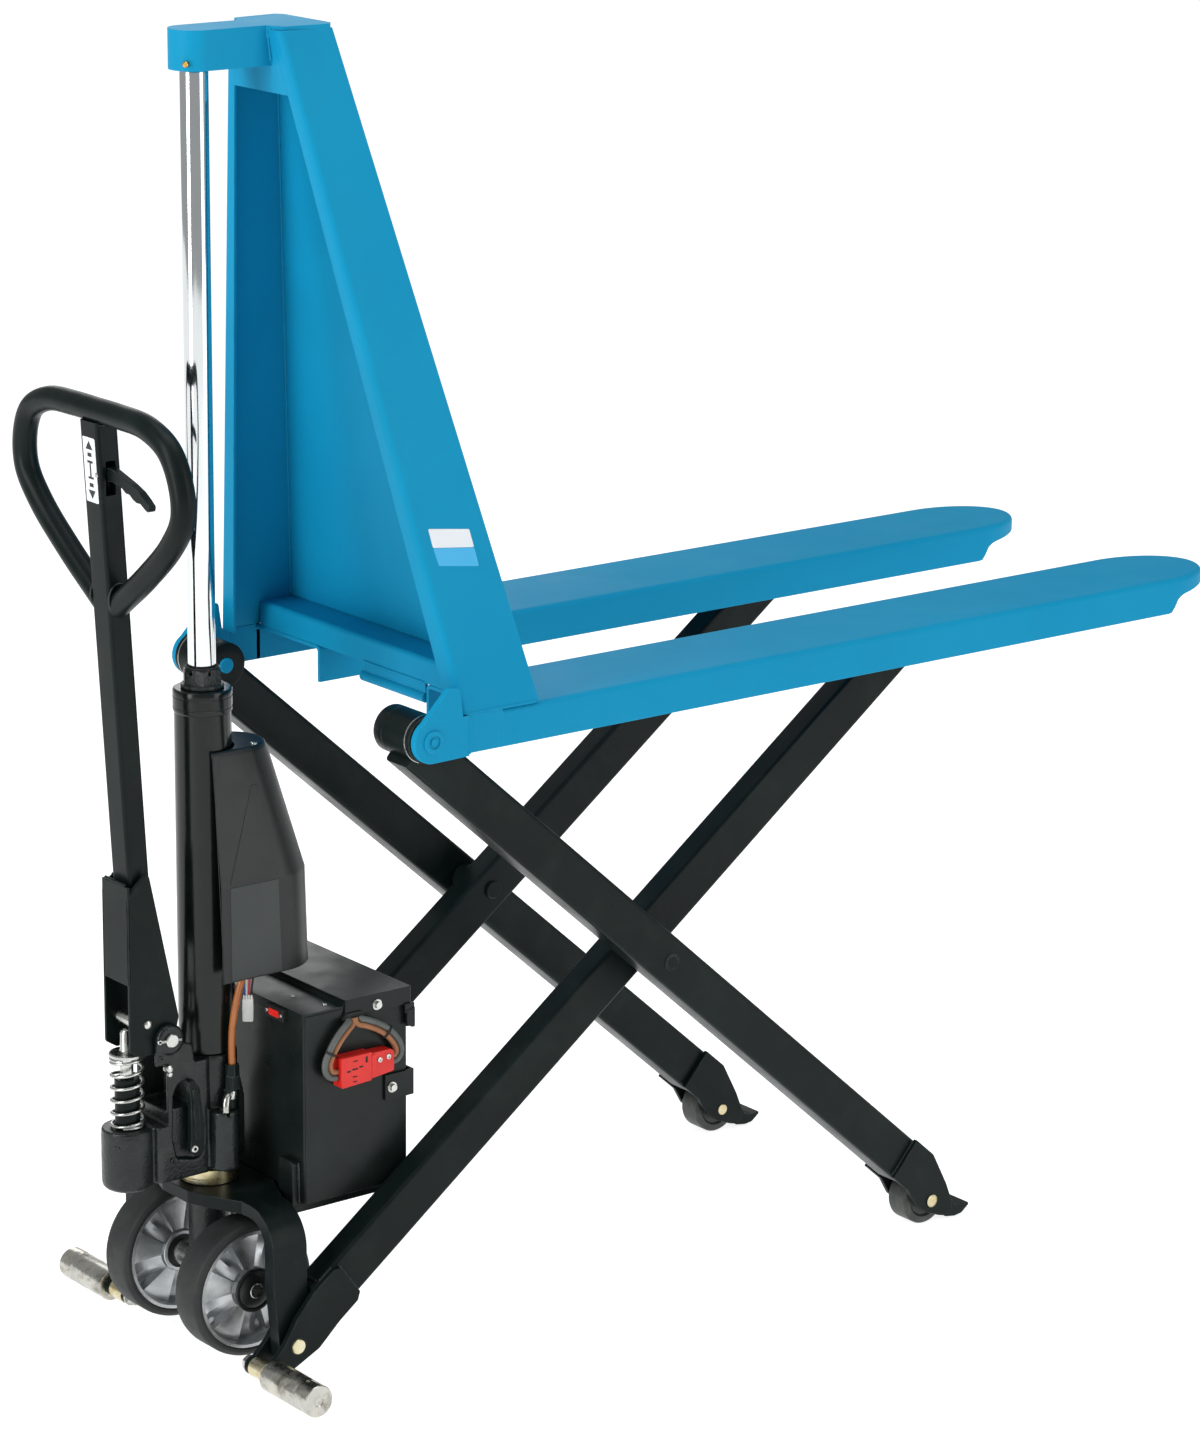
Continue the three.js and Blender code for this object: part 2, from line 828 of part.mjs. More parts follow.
// ---------------------------------------------------------------- steered unit
{
  const [px, pz] = HANDLE_PIVOT;
  const casting = cut(
    union(
      rodZ(0, 0, 38, 247, 400, 28),
      rodZ(0, 0, 27, 84, 250, 24),
      box(-100, -20, -38, 38, 247, 400),
      prism("y", [[-42, 399], ...arc(px, pz, 20, 0, 180, 10), [-100, 399]], -38, 38),
      rodZ(PUMP_X, 0, 34, 240, 320, 24),
      box(-121, -60, -26, 26, 247, 300),
      rodZ(-6, -46, 18, 252, 331, 16),
    ),
    rodZ(0, 0, BORE_R, BORE_BOTTOM_Z, 420, 28),
    box(-130, -44, -30.6, 30.6, 340, 470),
    rodZ(PUMP_X, 0, 16.8, 248, 330, 24),
    rodY(px, pz, 9.4, -60, 60, 16),
    rodY(AXLE[0], AXLE[1], 10.5, -60, 60, 20),
    box(-101, -83, -50, 50, 320.5, 404),
  );
  add(G.steer, "pump_casting", casting, CAST);
  add(
    G.steer,
    "cylinder_barrel",
    cut(
      turnedZ(0, 0, [
        [0, BARREL_Z[0]],
        [BARREL_R - 1.5, BARREL_Z[0]],
        [BARREL_R - 1.5, 846],
        [BARREL_R, 850],
        [BARREL_R, BARREL_Z[1] - 2],
        [BARREL_R - 2, BARREL_Z[1]],
        [0, BARREL_Z[1]],
      ]),
      rodZ(0, 0, BORE_R, BARREL_Z[0] - 5, BARREL_Z[1] + 5, 28),
    ),
    CAST,
  );
  add(
    G.steer,
    "gland_nut",
    cut(
      rodZ(0, 0, NUT_FLATS / 2 / Math.cos(Math.PI / 6), NUT_Z[0], NUT_Z[1], 6),
      rodZ(0, 0, 20.2, NUT_Z[0] - 5, NUT_Z[1] + 5, 28),
    ),
    CAST,
  );
  add(G.steer, "steer_axle", rodY(AXLE[0], AXLE[1], 10, -114, 114, 20), STEEL);
  const [w0, w1] = WHEEL_Y;
  pair(
    G.steer,
    "wheel_rim",
    turnedY(AXLE[0], AXLE[1], [
      [10.6, w0 + 4],
      [26, w0 + 4],
      [27, w0 + 14],
      [70, w0 + 18],
      [72, w0 + 2],
      [78.6, w0 + 2],
      [78.6, w1 - 2],
      [72, w1 - 2],
      [70, w1 - 16],
      [30, w1 - 10],
      [27, w1 + 1],
      [10.6, w1 + 1],
      [10.6, w0 + 4],
    ], 20),
    ALU,
  );
  pair(
    G.steer,
    "wheel_tyre",
    turnedY(AXLE[0], AXLE[1], [
      [79.4, w0],
      [WHEEL_R - 4, w0],
      [WHEEL_R, w0 + 5],
      [WHEEL_R, w1 - 5],
      [WHEEL_R - 4, w1],
      [79.4, w1],
      [79.4, w0],
    ], 26),
    RUBBER,
  );

  // power pack cover: straight below, tapering to a smaller top, round at the front
  const U = (x0, xs, w, n = 8, xLeft = x0) => {
    const p = [[xLeft, w], [x0, -w]];
    for (let i = 0; i <= n; i++) {
      const a = -Math.PI / 2 + (Math.PI * i) / n;
      p.push([xs + w * Math.cos(a), w * Math.sin(a)]);
    }
    return p;
  };
  const outer = loft(
    [
      { z: 503, pts: U(-14, 81, 62, 8, 8) },
      { z: 629, pts: U(-14, 78, 61, 8, 8) },
      { z: 800, pts: U(-14, 42, 42.6, 8, 8) },
    ],
  );
  const inner = loft([
    { z: 495, pts: U(-30, 81, 59) },
    { z: 629, pts: U(-30, 78, 58) },
    { z: 796.5, pts: U(-30, 42, 39.6) },
  ]);
  add(
    G.steer,
    "power_pack_cover",
    cut(outer, inner, rodZ(0, 0, 39.2, 780, 810, 28)),
    PLASTIC,
  );
  add(
    G.steer,
    "power_pack",
    union(
      rodZ(88, 0, 42, 512, 600, 20),
      box(48, 112, -30, 30, 600, 640),
      rodZ(74, 0, 24, 640, 730, 16),
    ),
    STEEL,
  );
  add(
    G.steer,
    "pressure_hose",
    tube(
      [
        [7, -46.5, 389.6],
        [6.5, -46.5, 410],
        [8, -47, 440],
        [13, -48, 470],
        [20, -49, 495],
        [30, -47, 512],
      ],
      4.6,
      8,
      12,
    ),
    COPPER,
  );
  add(
    G.steer,
    "hose_fitting",
    union(
      rodZ(7, -46.5, 9.5, 362, 389.3, 6),
      rodZ(3, -46.5, 8, 331.3, 366, 10),
    ),
    BLACK,
  );
}

// ---------------------------------------------------------------- handle and pump drive
{
  const [px, pz] = HANDLE_PIVOT;
  const X = (z) => -108 - ((z - 620) * 36) / 605; // tube centre line
  const section = (z, hx, hy) => ({
    z,
    pts: [
      [X(z) - hx, -hy],
      [X(z) + hx, -hy],
      [X(z) + hx, hy],
      [X(z) - hx, hy],
    ],
  });
  const post = cut(
    loft([section(598, 15.5, 20), section(1232, 15.5, 20)]),
    loft([section(590, 12.5, 17), section(1200, 12.5, 17)]),
  );
  const loopPts = [
    [14, 1000],
    [88, 1052],
    [150, 1104],
    [177, 1143],
    [176, 1184],
    [156, 1220],
    [112, 1240],
    [50, 1244],
  ];
  const path = [
    ...loopPts.map(([y, z]) => [X(z), y, z]),
    [X(1244), 0, 1244],
    ...loopPts
      .slice()
      .reverse()
      .map(([y, z]) => [X(z), -y, z]),
  ];
  const loop = tube(path, 15.5, 10, 30);
  const cheek = [
    ...arc(px, pz, 16, -100, 25, 6),
    [-61, 462],
    [-102, 648],
    [-134, 644],
    [-134, 428],
    [-118, 418],
  ];
  const base = union(
    prism("y", cheek, 26, 30),
    prism("y", cheek, -30, -26),
    box(-134, -130, -30, 30, 515, 644),
    box(-132, -98, -28, 28, 600, 640),
    cut(rodY(-117, 462, 9, -28, 28, 14)),
  );
  add(
    G.handle,
    "handle",
    cut(
      union(post, loop, base),
      rodY(px, pz, 9.4, -60, 60, 16),
      loft([section(590, 12.5, 17), section(1200, 12.5, 17)]),
      prism("y", [[-150, 1138], [-110, 1138], [-110, 1190], [-150, 1190]], -40, -16.9),
    ),
    BLACK,
  );
  add(
    G.steer,
    "handle_pin",
    union(rodY(px, pz, 9, -43, 42, 16)),
    STEEL,
  );
  // finger lever inside the loop, pivoted in the tube
  add(
    G.handle,
    "control_lever",
    prism(
      "x",
      [
        [-12, 1158],
        [-12, 1176],
        [-30, 1176],
        [-52, 1170],
        [-90, 1158],
        [-112, 1144],
        [-110, 1136],
        [-92, 1144],
        [-74, 1147],
        [-52, 1156],
        [-30, 1160],
      ],
      X(1160) - 5,
      X(1160) + 5,
    ),
    BLACK,
  );
  // pump plunger: sleeve, spring cap and push rod
  add(
    G.handle,
    "pump_plunger",
    turnedZ(PUMP_X, 0, [
      [0, 306],
      [16, 306],
      [16, 385],
      [9, 386],
      [9, 414],
      [22.5, 414],
      [22.5, 419],
      [9, 420],
      [8, 449.6],
      [0, 450.2],
    ], 16),
    STEEL,
  );
  add(
    G.handle,
    "pump_spring",
    cut(
      rodZ(PUMP_X, 0, 22.2, 320.5, 413.6, 20),
      rodZ(PUMP_X, 0, 18.4, 310, 420, 20),
    ),
    STEEL,
  );
  // lowering valve lever on the side of the casting
  add(
    G.steer,
    "lowering_lever",
    prism(
      "y",
      [
        ...arc(-46, 288, 11, 180, 360, 8),
        [-36, 330],
        [-40, 352],
        [-48, 380],
        [-56, 380],
        [-54, 350],
      ],
      -46,
      -38.5,
    ),
    BLACK,
  );
}

truck.position.set(-ORIGIN_X, 0, 0);
export default truck;
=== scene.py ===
import json
import math
import random

import bmesh
import bpy
from mathutils import Matrix, Vector
from mathutils.geometry import tessellate_polygon

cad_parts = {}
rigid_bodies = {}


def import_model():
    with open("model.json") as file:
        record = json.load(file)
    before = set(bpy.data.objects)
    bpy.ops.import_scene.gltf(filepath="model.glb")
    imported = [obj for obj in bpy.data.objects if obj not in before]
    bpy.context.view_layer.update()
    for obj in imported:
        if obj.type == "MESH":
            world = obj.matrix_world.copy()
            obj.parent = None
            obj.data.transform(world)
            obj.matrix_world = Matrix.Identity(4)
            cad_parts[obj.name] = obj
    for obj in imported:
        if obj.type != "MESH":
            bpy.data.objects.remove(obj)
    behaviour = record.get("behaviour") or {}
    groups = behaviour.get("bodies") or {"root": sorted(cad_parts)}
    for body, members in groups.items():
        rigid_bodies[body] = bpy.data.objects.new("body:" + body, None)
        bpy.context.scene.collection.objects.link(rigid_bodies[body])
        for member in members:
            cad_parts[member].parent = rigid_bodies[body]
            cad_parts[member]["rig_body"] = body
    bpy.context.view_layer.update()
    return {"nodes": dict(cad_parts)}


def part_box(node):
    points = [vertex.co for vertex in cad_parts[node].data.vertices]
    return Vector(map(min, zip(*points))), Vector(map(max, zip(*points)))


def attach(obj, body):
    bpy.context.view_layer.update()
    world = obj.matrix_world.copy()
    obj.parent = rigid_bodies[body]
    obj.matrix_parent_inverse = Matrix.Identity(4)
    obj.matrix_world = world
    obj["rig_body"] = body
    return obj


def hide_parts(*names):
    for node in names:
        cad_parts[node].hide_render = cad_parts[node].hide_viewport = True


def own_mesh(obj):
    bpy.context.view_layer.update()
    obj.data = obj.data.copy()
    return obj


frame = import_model()
NODES = frame["nodes"]
MM = 0.001
_lo, _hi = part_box("lift_rod")
OX = (_lo.x + _hi.x) / 2  # the lift cylinder's axis in the row frame
RNG = random.Random(7)


# ------------------------------------------------------------------ camera
def make_camera():
    a, e, r = math.radians(-38.0896), math.radians(15.3308), math.radians(0.5341)
    back = Vector((math.sin(a) * math.cos(e), -math.cos(a) * math.cos(e), math.sin(e)))
    right = Vector((math.cos(a), math.sin(a), 0))
    up = back.cross(right)
    r0 = right * math.cos(r) + up * math.sin(r)
    r1 = -right * math.sin(r) + up * math.cos(r)
    cam = bpy.data.cameras.new("camera")
    ob = bpy.data.objects.new("camera", cam)
    bpy.context.scene.collection.objects.link(ob)
    m = Matrix.Identity(4)
    for i in range(3):
        m[i][0], m[i][1], m[i][2] = r0[i], r1[i], back[i]
    m[0][3], m[1][3], m[2][3] = -3.1313 + OX, -4.7997, 2.4059
    ob.matrix_world = m
    cam.sensor_fit = "VERTICAL"
    cam.sensor_height = 36
    cam.sensor_width = 36
    cam.lens = 118.97
    cam.clip_end = 100
    bpy.context.scene.camera = ob


make_camera()


# ------------------------------------------------------------------ materials
def srgb(h):
    v = [int(h[i : i + 2], 16) / 255 for i in (0, 2, 4)]
    return [x / 12.92 if x <= 0.04045 else ((x + 0.055) / 1.055) ** 2.4 for x in v] + [1]


def material(
    name,
    c0,
    c1,
    rough=0.4,
    rough_var=0.08,
    metal=0.0,
    scale=9.0,
    stretch=(1, 1, 1),
    bump=0.12,
    bump_scale=260.0,
    bump_mm=0.25,
    wear_and_edge_highlight=None,
    wear_and_edge_highlight_amount=0.5,
    wear_and_edge_highlight_radius=1.1,
    stain=None,
    stain_scale=22.0,
    stain_amount=0.5,
    coat=0.0,
    coat_rough=0.1,
    spec=0.4,
    fleck=0.0,
    brushed=0.0,
):
    m = bpy.data.materials.new(name)
    m.use_nodes = True
    nt = m.node_tree
    for n in list(nt.nodes):
        nt.nodes.remove(n)
    N, L = nt.nodes.new, nt.links.new
    out = N("ShaderNodeOutputMaterial")
    b = N("ShaderNodeBsdfPrincipled")
    L(b.outputs[0], out.inputs[0])
    b.inputs["Metallic"].default_value = metal
    b.inputs["Coat Weight"].default_value = coat
    b.inputs["Coat Roughness"].default_value = coat_rough
    b.inputs["Specular IOR Level"].default_value = spec
    tc = N("ShaderNodeTexCoord")
    mp = N("ShaderNodeMapping")
    mp.inputs["Scale"].default_value = stretch
    L(tc.outputs["Object"], mp.inputs["Vector"])

    def noise(s, detail=4.0, rough_=0.55, vec=mp.outputs[0], dist=0.0):
        n = N("ShaderNodeTexNoise")
        n.inputs["Scale"].default_value = s
        n.inputs["Detail"].default_value = detail
        n.inputs["Roughness"].default_value = rough_
        n.inputs["Distortion"].default_value = dist
        L(vec, n.inputs["Vector"])
        return n.outputs["Fac"]

    def maprange(v, a, b_, c, d):
        n = N("ShaderNodeMapRange")
        n.clamp = True
        for i, x in zip((1, 2, 3, 4), (a, b_, c, d)):
            n.inputs[i].default_value = x
        L(v, n.inputs[0])
        return n.outputs[0]

    def mix(f, ca, cb):
        n = N("ShaderNodeMix")
        n.data_type = "RGBA"
        for sock, val in ((n.inputs[0], f), (n.inputs[6], ca), (n.inputs[7], cb)):
            if isinstance(val, (list, tuple)):
                sock.default_value = val
            elif isinstance(val, float):
                sock.default_value = val
            else:
                L(val, sock)
        return n.outputs[2]

    def mul(a_, b_):
        n = N("ShaderNodeMath")
        n.operation = "MULTIPLY"
        for s, v in ((n.inputs[0], a_), (n.inputs[1], b_)):
            if isinstance(v, float):
                s.default_value = v
            else:
                L(v, s)
        return n.outputs[0]

    col = mix(maprange(noise(scale), 0.3, 0.7, 0, 1), srgb(c0), srgb(c1))
    rv = maprange(noise(scale * 3.1, 5), 0.25, 0.75, max(0.03, rough - rough_var), rough + rough_var)
    if stain:
        sm = maprange(noise(stain_scale, 6, 0.65, dist=0.4), 0.5, 0.68, 0, stain_amount)
        col = mix(sm, col, srgb(stain))
    # Edges lightened through a Bevel-node mask broken up by noise: partly paint wear, partly painted edge highlight.
    if wear_and_edge_highlight:
        bv = N("ShaderNodeBevel")
        bv.samples = 3
        bv.inputs["Radius"].default_value = wear_and_edge_highlight_radius * MM
        ge = N("ShaderNodeNewGeometry")
        dp = N("ShaderNodeVectorMath")
        dp.operation = "DOT_PRODUCT"
        L(bv.outputs[0], dp.inputs[0])
        L(ge.outputs["Normal"], dp.inputs[1])
        edge = maprange(dp.outputs["Value"], 0.995, 0.86, 0, 1)
        brk = maprange(noise(46, 5), 0.42, 0.62, 0.15, 1)
        wear_highlight_mask = mul(mul(edge, brk), wear_and_edge_highlight_amount)
        col = mix(wear_highlight_mask, col, srgb(wear_and_edge_highlight))
    L(col, b.inputs["Base Color"])
    L(rv, b.inputs["Roughness"])
    h = noise(bump_scale, 3)
    if brushed:
        m2 = N("ShaderNodeMapping")
        m2.inputs["Scale"].default_value = (1, 1, 60) if brushed > 0 else (60, 60, 1)
        L(tc.outputs["Object"], m2.inputs["Vector"])
        n2 = noise(abs(brushed), 3, vec=m2.outputs[0])
        ad = N("ShaderNodeMath")
        L(h, ad.inputs[0])
        L(n2, ad.inputs[1])
        h = ad.outputs[0]
    if fleck:
        vo = N("ShaderNodeTexVoronoi")
        vo.inputs["Scale"].default_value = fleck
        L(tc.outputs["Object"], vo.inputs["Vector"])
        ad = N("ShaderNodeMath")
        L(h, ad.inputs[0])
        L(vo.outputs["Distance"], ad.inputs[1])
        h = ad.outputs[0]
    bp = N("ShaderNodeBump")
    bp.inputs["Strength"].default_value = bump
    bp.inputs["Distance"].default_value = bump_mm * MM
    L(h, bp.inputs["Height"])
    L(bp.outputs[0], b.inputs["Normal"])
    return m


M = {
    # The lighter blue 45aed2 along the blue edges is painted edge highlight; the edge colours of the other materials
    # are partly wear, partly painted edge highlight.
    "blue": material("blue_enamel", "0c8ab6", "1290ba", 0.5, 0.06, scale=2.6, bump=0.10, bump_scale=420, bump_mm=0.12,
                     wear_and_edge_highlight="45aed2", wear_and_edge_highlight_amount=0.42, wear_and_edge_highlight_radius=1.6, stain="1686ab", stain_scale=5, stain_amount=0.35, spec=0.07),
    "black": material("black_enamel", "0a1211", "121b1a", 0.34, 0.08, scale=5, bump=0.16, bump_scale=520, bump_mm=0.16,
                      wear_and_edge_highlight="7c8785", wear_and_edge_highlight_amount=0.55, wear_and_edge_highlight_radius=1.0, stain="1b2523", stain_scale=14, stain_amount=0.5, spec=0.12),
    "cast": material("black_cast", "0c1212", "151d1c", 0.32, 0.1, scale=12, bump=0.55, bump_scale=210, bump_mm=0.55,
                     wear_and_edge_highlight="59625f", wear_and_edge_highlight_amount=0.4, wear_and_edge_highlight_radius=1.2, stain="2a3230", stain_scale=30, stain_amount=0.5, fleck=300, spec=0.38),
    "chrome": material("hard_chrome", "e6eaeb", "d4d9da", 0.09, 0.03, metal=1.0, scale=4, bump=0.03, bump_scale=90, bump_mm=0.05, brushed=14),
    "zinc": material("yellow_zinc", "cfc08a", "d8d3bd", 0.3, 0.08, metal=1.0, scale=40, bump=0.2, bump_scale=300, bump_mm=0.12,
                     stain="a98e3f", stain_scale=60, stain_amount=0.55),
    "steel": material("bright_steel", "b9bcb9", "cfd0cb", 0.27, 0.1, metal=1.0, scale=30, bump=0.25, bump_scale=240, bump_mm=0.15,
                      stain="7f7d72", stain_scale=38, stain_amount=0.6),
    "worn": material("worn_steel", "c9c6ba", "b2b2ae", 0.26, 0.12, metal=1.0, scale=34, bump=0.6, bump_scale=150, bump_mm=0.35,
                     stain="6d6756", stain_scale=45, stain_amount=0.8),
    "alu": material("cast_aluminium", "a9adae", "c2c5c6", 0.36, 0.09, metal=0.95, scale=26, bump=0.35, bump_scale=420, bump_mm=0.2,
                    wear_and_edge_highlight="e3e5e6", wear_and_edge_highlight_amount=0.7, wear_and_edge_highlight_radius=0.9, stain="808587", stain_scale=40, stain_amount=0.4),
    "rubber": material("solid_rubber", "1a1d1d", "262a2a", 0.62, 0.08, scale=18, bump=0.35, bump_scale=600, bump_mm=0.3,
                       stain="30312f", stain_scale=26, stain_amount=0.6),
    "barrel": material("barrel_enamel", "080d0c", "0e1413", 0.2, 0.05, scale=12, bump=0.32, bump_scale=190, bump_mm=0.3,
                       wear_and_edge_highlight="59625f", wear_and_edge_highlight_amount=0.3, wear_and_edge_highlight_radius=1.0, stain="19211f", stain_scale=30, stain_amount=0.4, spec=0.34),
    # Lighter grey copy of the cover plastic for the cover's lower side panels: painted reflection.
    "panel": material("cover_panel_painted_reflection", "2b302f", "343938", 0.4, 0.05, scale=7, bump=0.4, bump_scale=1500, bump_mm=0.12),
    "plastic": material("grained_plastic", "0f1414", "151a19", 0.36, 0.05, scale=7, bump=0.4, bump_scale=1500, bump_mm=0.14,
                        wear_and_edge_highlight="3b4341", wear_and_edge_highlight_amount=0.4, wear_and_edge_highlight_radius=0.8),
    "boxpaint": material("satin_box_paint", "0c1312", "141c1b", 0.33, 0.09, scale=7, bump=0.18, bump_scale=480, bump_mm=0.14,
                         wear_and_edge_highlight="4a5452", wear_and_edge_highlight_amount=0.5, wear_and_edge_highlight_radius=0.9, stain="1b2321", stain_scale=12, stain_amount=0.5, spec=0.24),
    "red": material("red_moulding", "cf1d17", "dd2a22", 0.4, 0.05, scale=30, bump=0.2, bump_scale=900, bump_mm=0.08,
                    wear_and_edge_highlight="f0564c", wear_and_edge_highlight_amount=0.4, wear_and_edge_highlight_radius=0.6),
    "copper": material("coated_hose", "96541f", "ad6830", 0.3, 0.06, scale=30, bump=0.12, bump_scale=500, bump_mm=0.1,
                       stain="8a4c20", stain_scale=30, stain_amount=0.4, coat=0.3),
    "grey_cable": material("grey_cable", "4d5250", "5c615f", 0.5, 0.06, scale=40, bump=0.2, bump_scale=700, bump_mm=0.1),
    "brown_cable": material("brown_cable", "8e5c3c", "9c6a46", 0.5, 0.06, scale=40, bump=0.2, bump_scale=700, bump_mm=0.1),
    "white_plastic": material("white_moulding", "dcdedb", "c6c9c6", 0.42, 0.05, scale=50, bump=0.1, bump_scale=900, bump_mm=0.05),
    "blue_wire": material("blue_wire", "1d4f9a", "2a5ead", 0.45, 0.05, scale=60, bump=0.1, bump_scale=900, bump_mm=0.05),
    "red_wire": material("red_wire", "b3252a", "c4333a", 0.45, 0.05, scale=60, bump=0.1, bump_scale=900, bump_mm=0.05),
    "black_wire": material("black_wire", "161818", "1f2222", 0.45, 0.05, scale=60, bump=0.1, bump_scale=900, bump_mm=0.05),
    "white_wire": material("white_wire", "d9dad6", "cbccc8", 0.45, 0.05, scale=60, bump=0.1, bump_scale=900, bump_mm=0.05),
    "brass": material("brass", "b98d3e", "cfa555", 0.28, 0.08, metal=1.0, scale=60, bump=0.15, bump_scale=400, bump_mm=0.1),
    # Dark moulding colour of the lead entry and indicator case, also used as painted shade for the socket slots.
    "socket_dark": material("dark_moulding_and_slot_shade", "080a0a", "0d1010", 0.6, 0.05, scale=60, bump=0.1, bump_scale=700, bump_mm=0.05),
    "white_film": material("white_film", "e3e8ec", "dde3e8", 0.42, 0.04, scale=20, bump=0.04, bump_scale=300, bump_mm=0.03),
    "pale_film": material("light_blue_film", "35aade", "3fb0e2", 0.42, 0.04, scale=20, bump=0.04, bump_scale=300, bump_mm=0.03),
    "ink": material("sticker_print", "141616", "1c1e1e", 0.45, 0.04, scale=30, bump=0.04, bump_scale=300, bump_mm=0.03),
    "battery": material("battery_case", "3d4140", "4a4e4d", 0.5, 0.05, scale=12, bump=0.3, bump_scale=600, bump_mm=0.1),
    "poly": material("roller_tread", "2a2d2c", "3a3e3c", 0.42, 0.08, scale=26, bump=0.25, bump_scale=400, bump_mm=0.15,
                     stain="55564f", stain_scale=40, stain_amount=0.5),
}


# ------------------------------------------------------------------ mesh code, in millimetres on the cylinder's axis
def body_of(node):
    return NODES[node]["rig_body"]


def piece(bm, name, mat, nodes=(), body=None, bevel=0.0, seg=3, angle=32, sharp=38, flip=False, recalc=True, cut=(), mats=None, weighted=True):
    if flip:
        for v in bm.verts:
            v.co.y = -v.co.y
    bmesh.ops.remove_doubles(bm, verts=bm.verts, dist=2e-4)
    if recalc:
        bmesh.ops.recalc_face_normals(bm, faces=bm.faces)
    for v in bm.verts:
        v.co = Vector((v.co.x * MM + OX, v.co.y * MM, v.co.z * MM))
    me = bpy.data.meshes.new(name)
    bm.to_mesh(me)
    bm.free()
    ob = bpy.data.objects.new(name, me)
    bpy.context.scene.collection.objects.link(ob)
    if cut:
        boolean(ob, cut, flip=flip)
    me = ob.data
    me.materials.clear()
    for k in mats or [mat]:
        me.materials.append(M[k])
    me.shade_smooth()
    if bevel:
        mo = ob.modifiers.new("Bevel", "BEVEL")
        mo.width = bevel * MM
        mo.segments = seg
        mo.limit_method = "ANGLE"
        mo.angle_limit = math.radians(angle)
        mo.miter_outer = "MITER_ARC"
        if weighted:
            wn = ob.modifiers.new("WeightedNormal", "WEIGHTED_NORMAL")
            wn.keep_sharp = True
    else:
        me.set_sharp_from_angle(angle=math.radians(sharp))
    if nodes:
        nodes = [nodes] if isinstance(nodes, str) else list(nodes)
        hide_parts(*nodes)
    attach(ob, body or body_of(nodes[0]))
    return ob


def temp_object(bm, flip=False):
    if flip:
        for v in bm.verts:
            v.co.y = -v.co.y
    bmesh.ops.remove_doubles(bm, verts=bm.verts, dist=2e-4)
    bmesh.ops.recalc_face_normals(bm, faces=bm.faces)
    for v in bm.verts:
        v.co = Vector((v.co.x * MM + OX, v.co.y * MM, v.co.z * MM))
    me = bpy.data.meshes.new("tmp")
    bm.to_mesh(me)
    bm.free()
    ob = bpy.data.objects.new("tmp", me)
    bpy.context.scene.collection.objects.link(ob)
    return ob


def boolean(ob, steps, flip=False):
    """steps: list of (operation, bmesh)."""
    made = []
    for op, bm in steps:
        c = temp_object(bm, flip)
        made.append(c)
        mo = ob.modifiers.new("b", "BOOLEAN")
        mo.operation = op
        mo.object = c
        mo.solver = "EXACT"
        mo.use_self = False
    apply(ob)
    for c in made:
        bpy.data.objects.remove(c)


def apply(ob):
    dg = bpy.context.evaluated_depsgraph_get()
    me = bpy.data.meshes.new_from_object(ob.evaluated_get(dg))
    ob.modifiers.clear()
    ob.data = me


def new():
    return bmesh.new()


def fillet(pts, r, n=5, closed=True):
    out, count = [], len(pts)
    for i, p in enumerate(pts):
        ri = r[i] if isinstance(r, (list, tuple)) else r
        if ri <= 0 or (not closed and i in (0, count - 1)):
            out.append((p[0], p[1]))
            continue
        b = Vector((p[0], p[1]))
        u = Vector((pts[i - 1][0], pts[i - 1][1])) - b
        q = pts[(i + 1) % count]
        v = Vector((q[0], q[1])) - b
        lu, lv = u.length, v.length
        if lu < 1e-6 or lv < 1e-6:
            out.append((p[0], p[1]))
            continue
        u /= lu
        v /= lv
        ang = math.acos(max(-1, min(1, u.dot(v))))
        if ang > math.pi - 0.03 or ang < 0.02:
            out.append((p[0], p[1]))
            continue
        t = min(ri / math.tan(ang / 2), lu * 0.49, lv * 0.49)
        rr = t * math.tan(ang / 2)
        p0, p1 = b + u * t, b + v * t
        cen = b + (u + v).normalized() * (rr / math.sin(ang / 2))
        a0 = math.atan2(p0.y - cen.y, p0.x - cen.x)
        d = (math.atan2(p1.y - cen.y, p1.x - cen.x) - a0 + math.pi) % (2 * math.pi) - math.pi
        for k in range(n + 1):
            a = a0 + d * k / n
            out.append((cen.x + rr * math.cos(a), cen.y + rr * math.sin(a)))
    return out


def arc(cx, cy, r, a0, a1, n):
    return [(cx + r * math.cos(math.radians(a0 + (a1 - a0) * i / n)), cy + r * math.sin(math.radians(a0 + (a1 - a0) * i / n))) for i in range(n + 1)]


def circle(cx, cy, r, n=48, turn=0.0):
    return [(cx + r * math.cos(turn + i * 2 * math.pi / n), cy + r * math.sin(turn + i * 2 * math.pi / n)) for i in range(n)]


LAY = {
    "x": lambda u, v, w: Vector((w, u, v)),
    "y": lambda u, v, w: Vector((u, w, v)),
    "z": lambda u, v, w: Vector((u, v, w)),
}


def prism(bm, axis, pts, a, b, holes=(), top=None):
    """top: outline at the far end, when it differs."""
    f = LAY[axis]
    loops = [pts] + list(holes)
    ends = []
    for k, w in enumerate((a, b)):
        ends.append([[bm.verts.new(f(p[0], p[1], w)) for p in (top if (k and top and i == 0) else lp)] for i, lp in enumerate(loops)])
    for la, lb in zip(*ends):
        n = len(la)
        for i in range(n):
            j = (i + 1) % n
            bm.faces.new((la[i], la[j], lb[j], lb[i]))
    if not holes:
        bm.faces.new(ends[0][0])
        bm.faces.new(ends[1][0])
    else:
        tri = tessellate_polygon([[Vector((p[0], p[1], 0)) for p in lp] for lp in loops])
        for e in ends:
            flat = [v for lp in e for v in lp]
            for t in tri:
                bm.faces.new([flat[i] for i in t])
    return bm


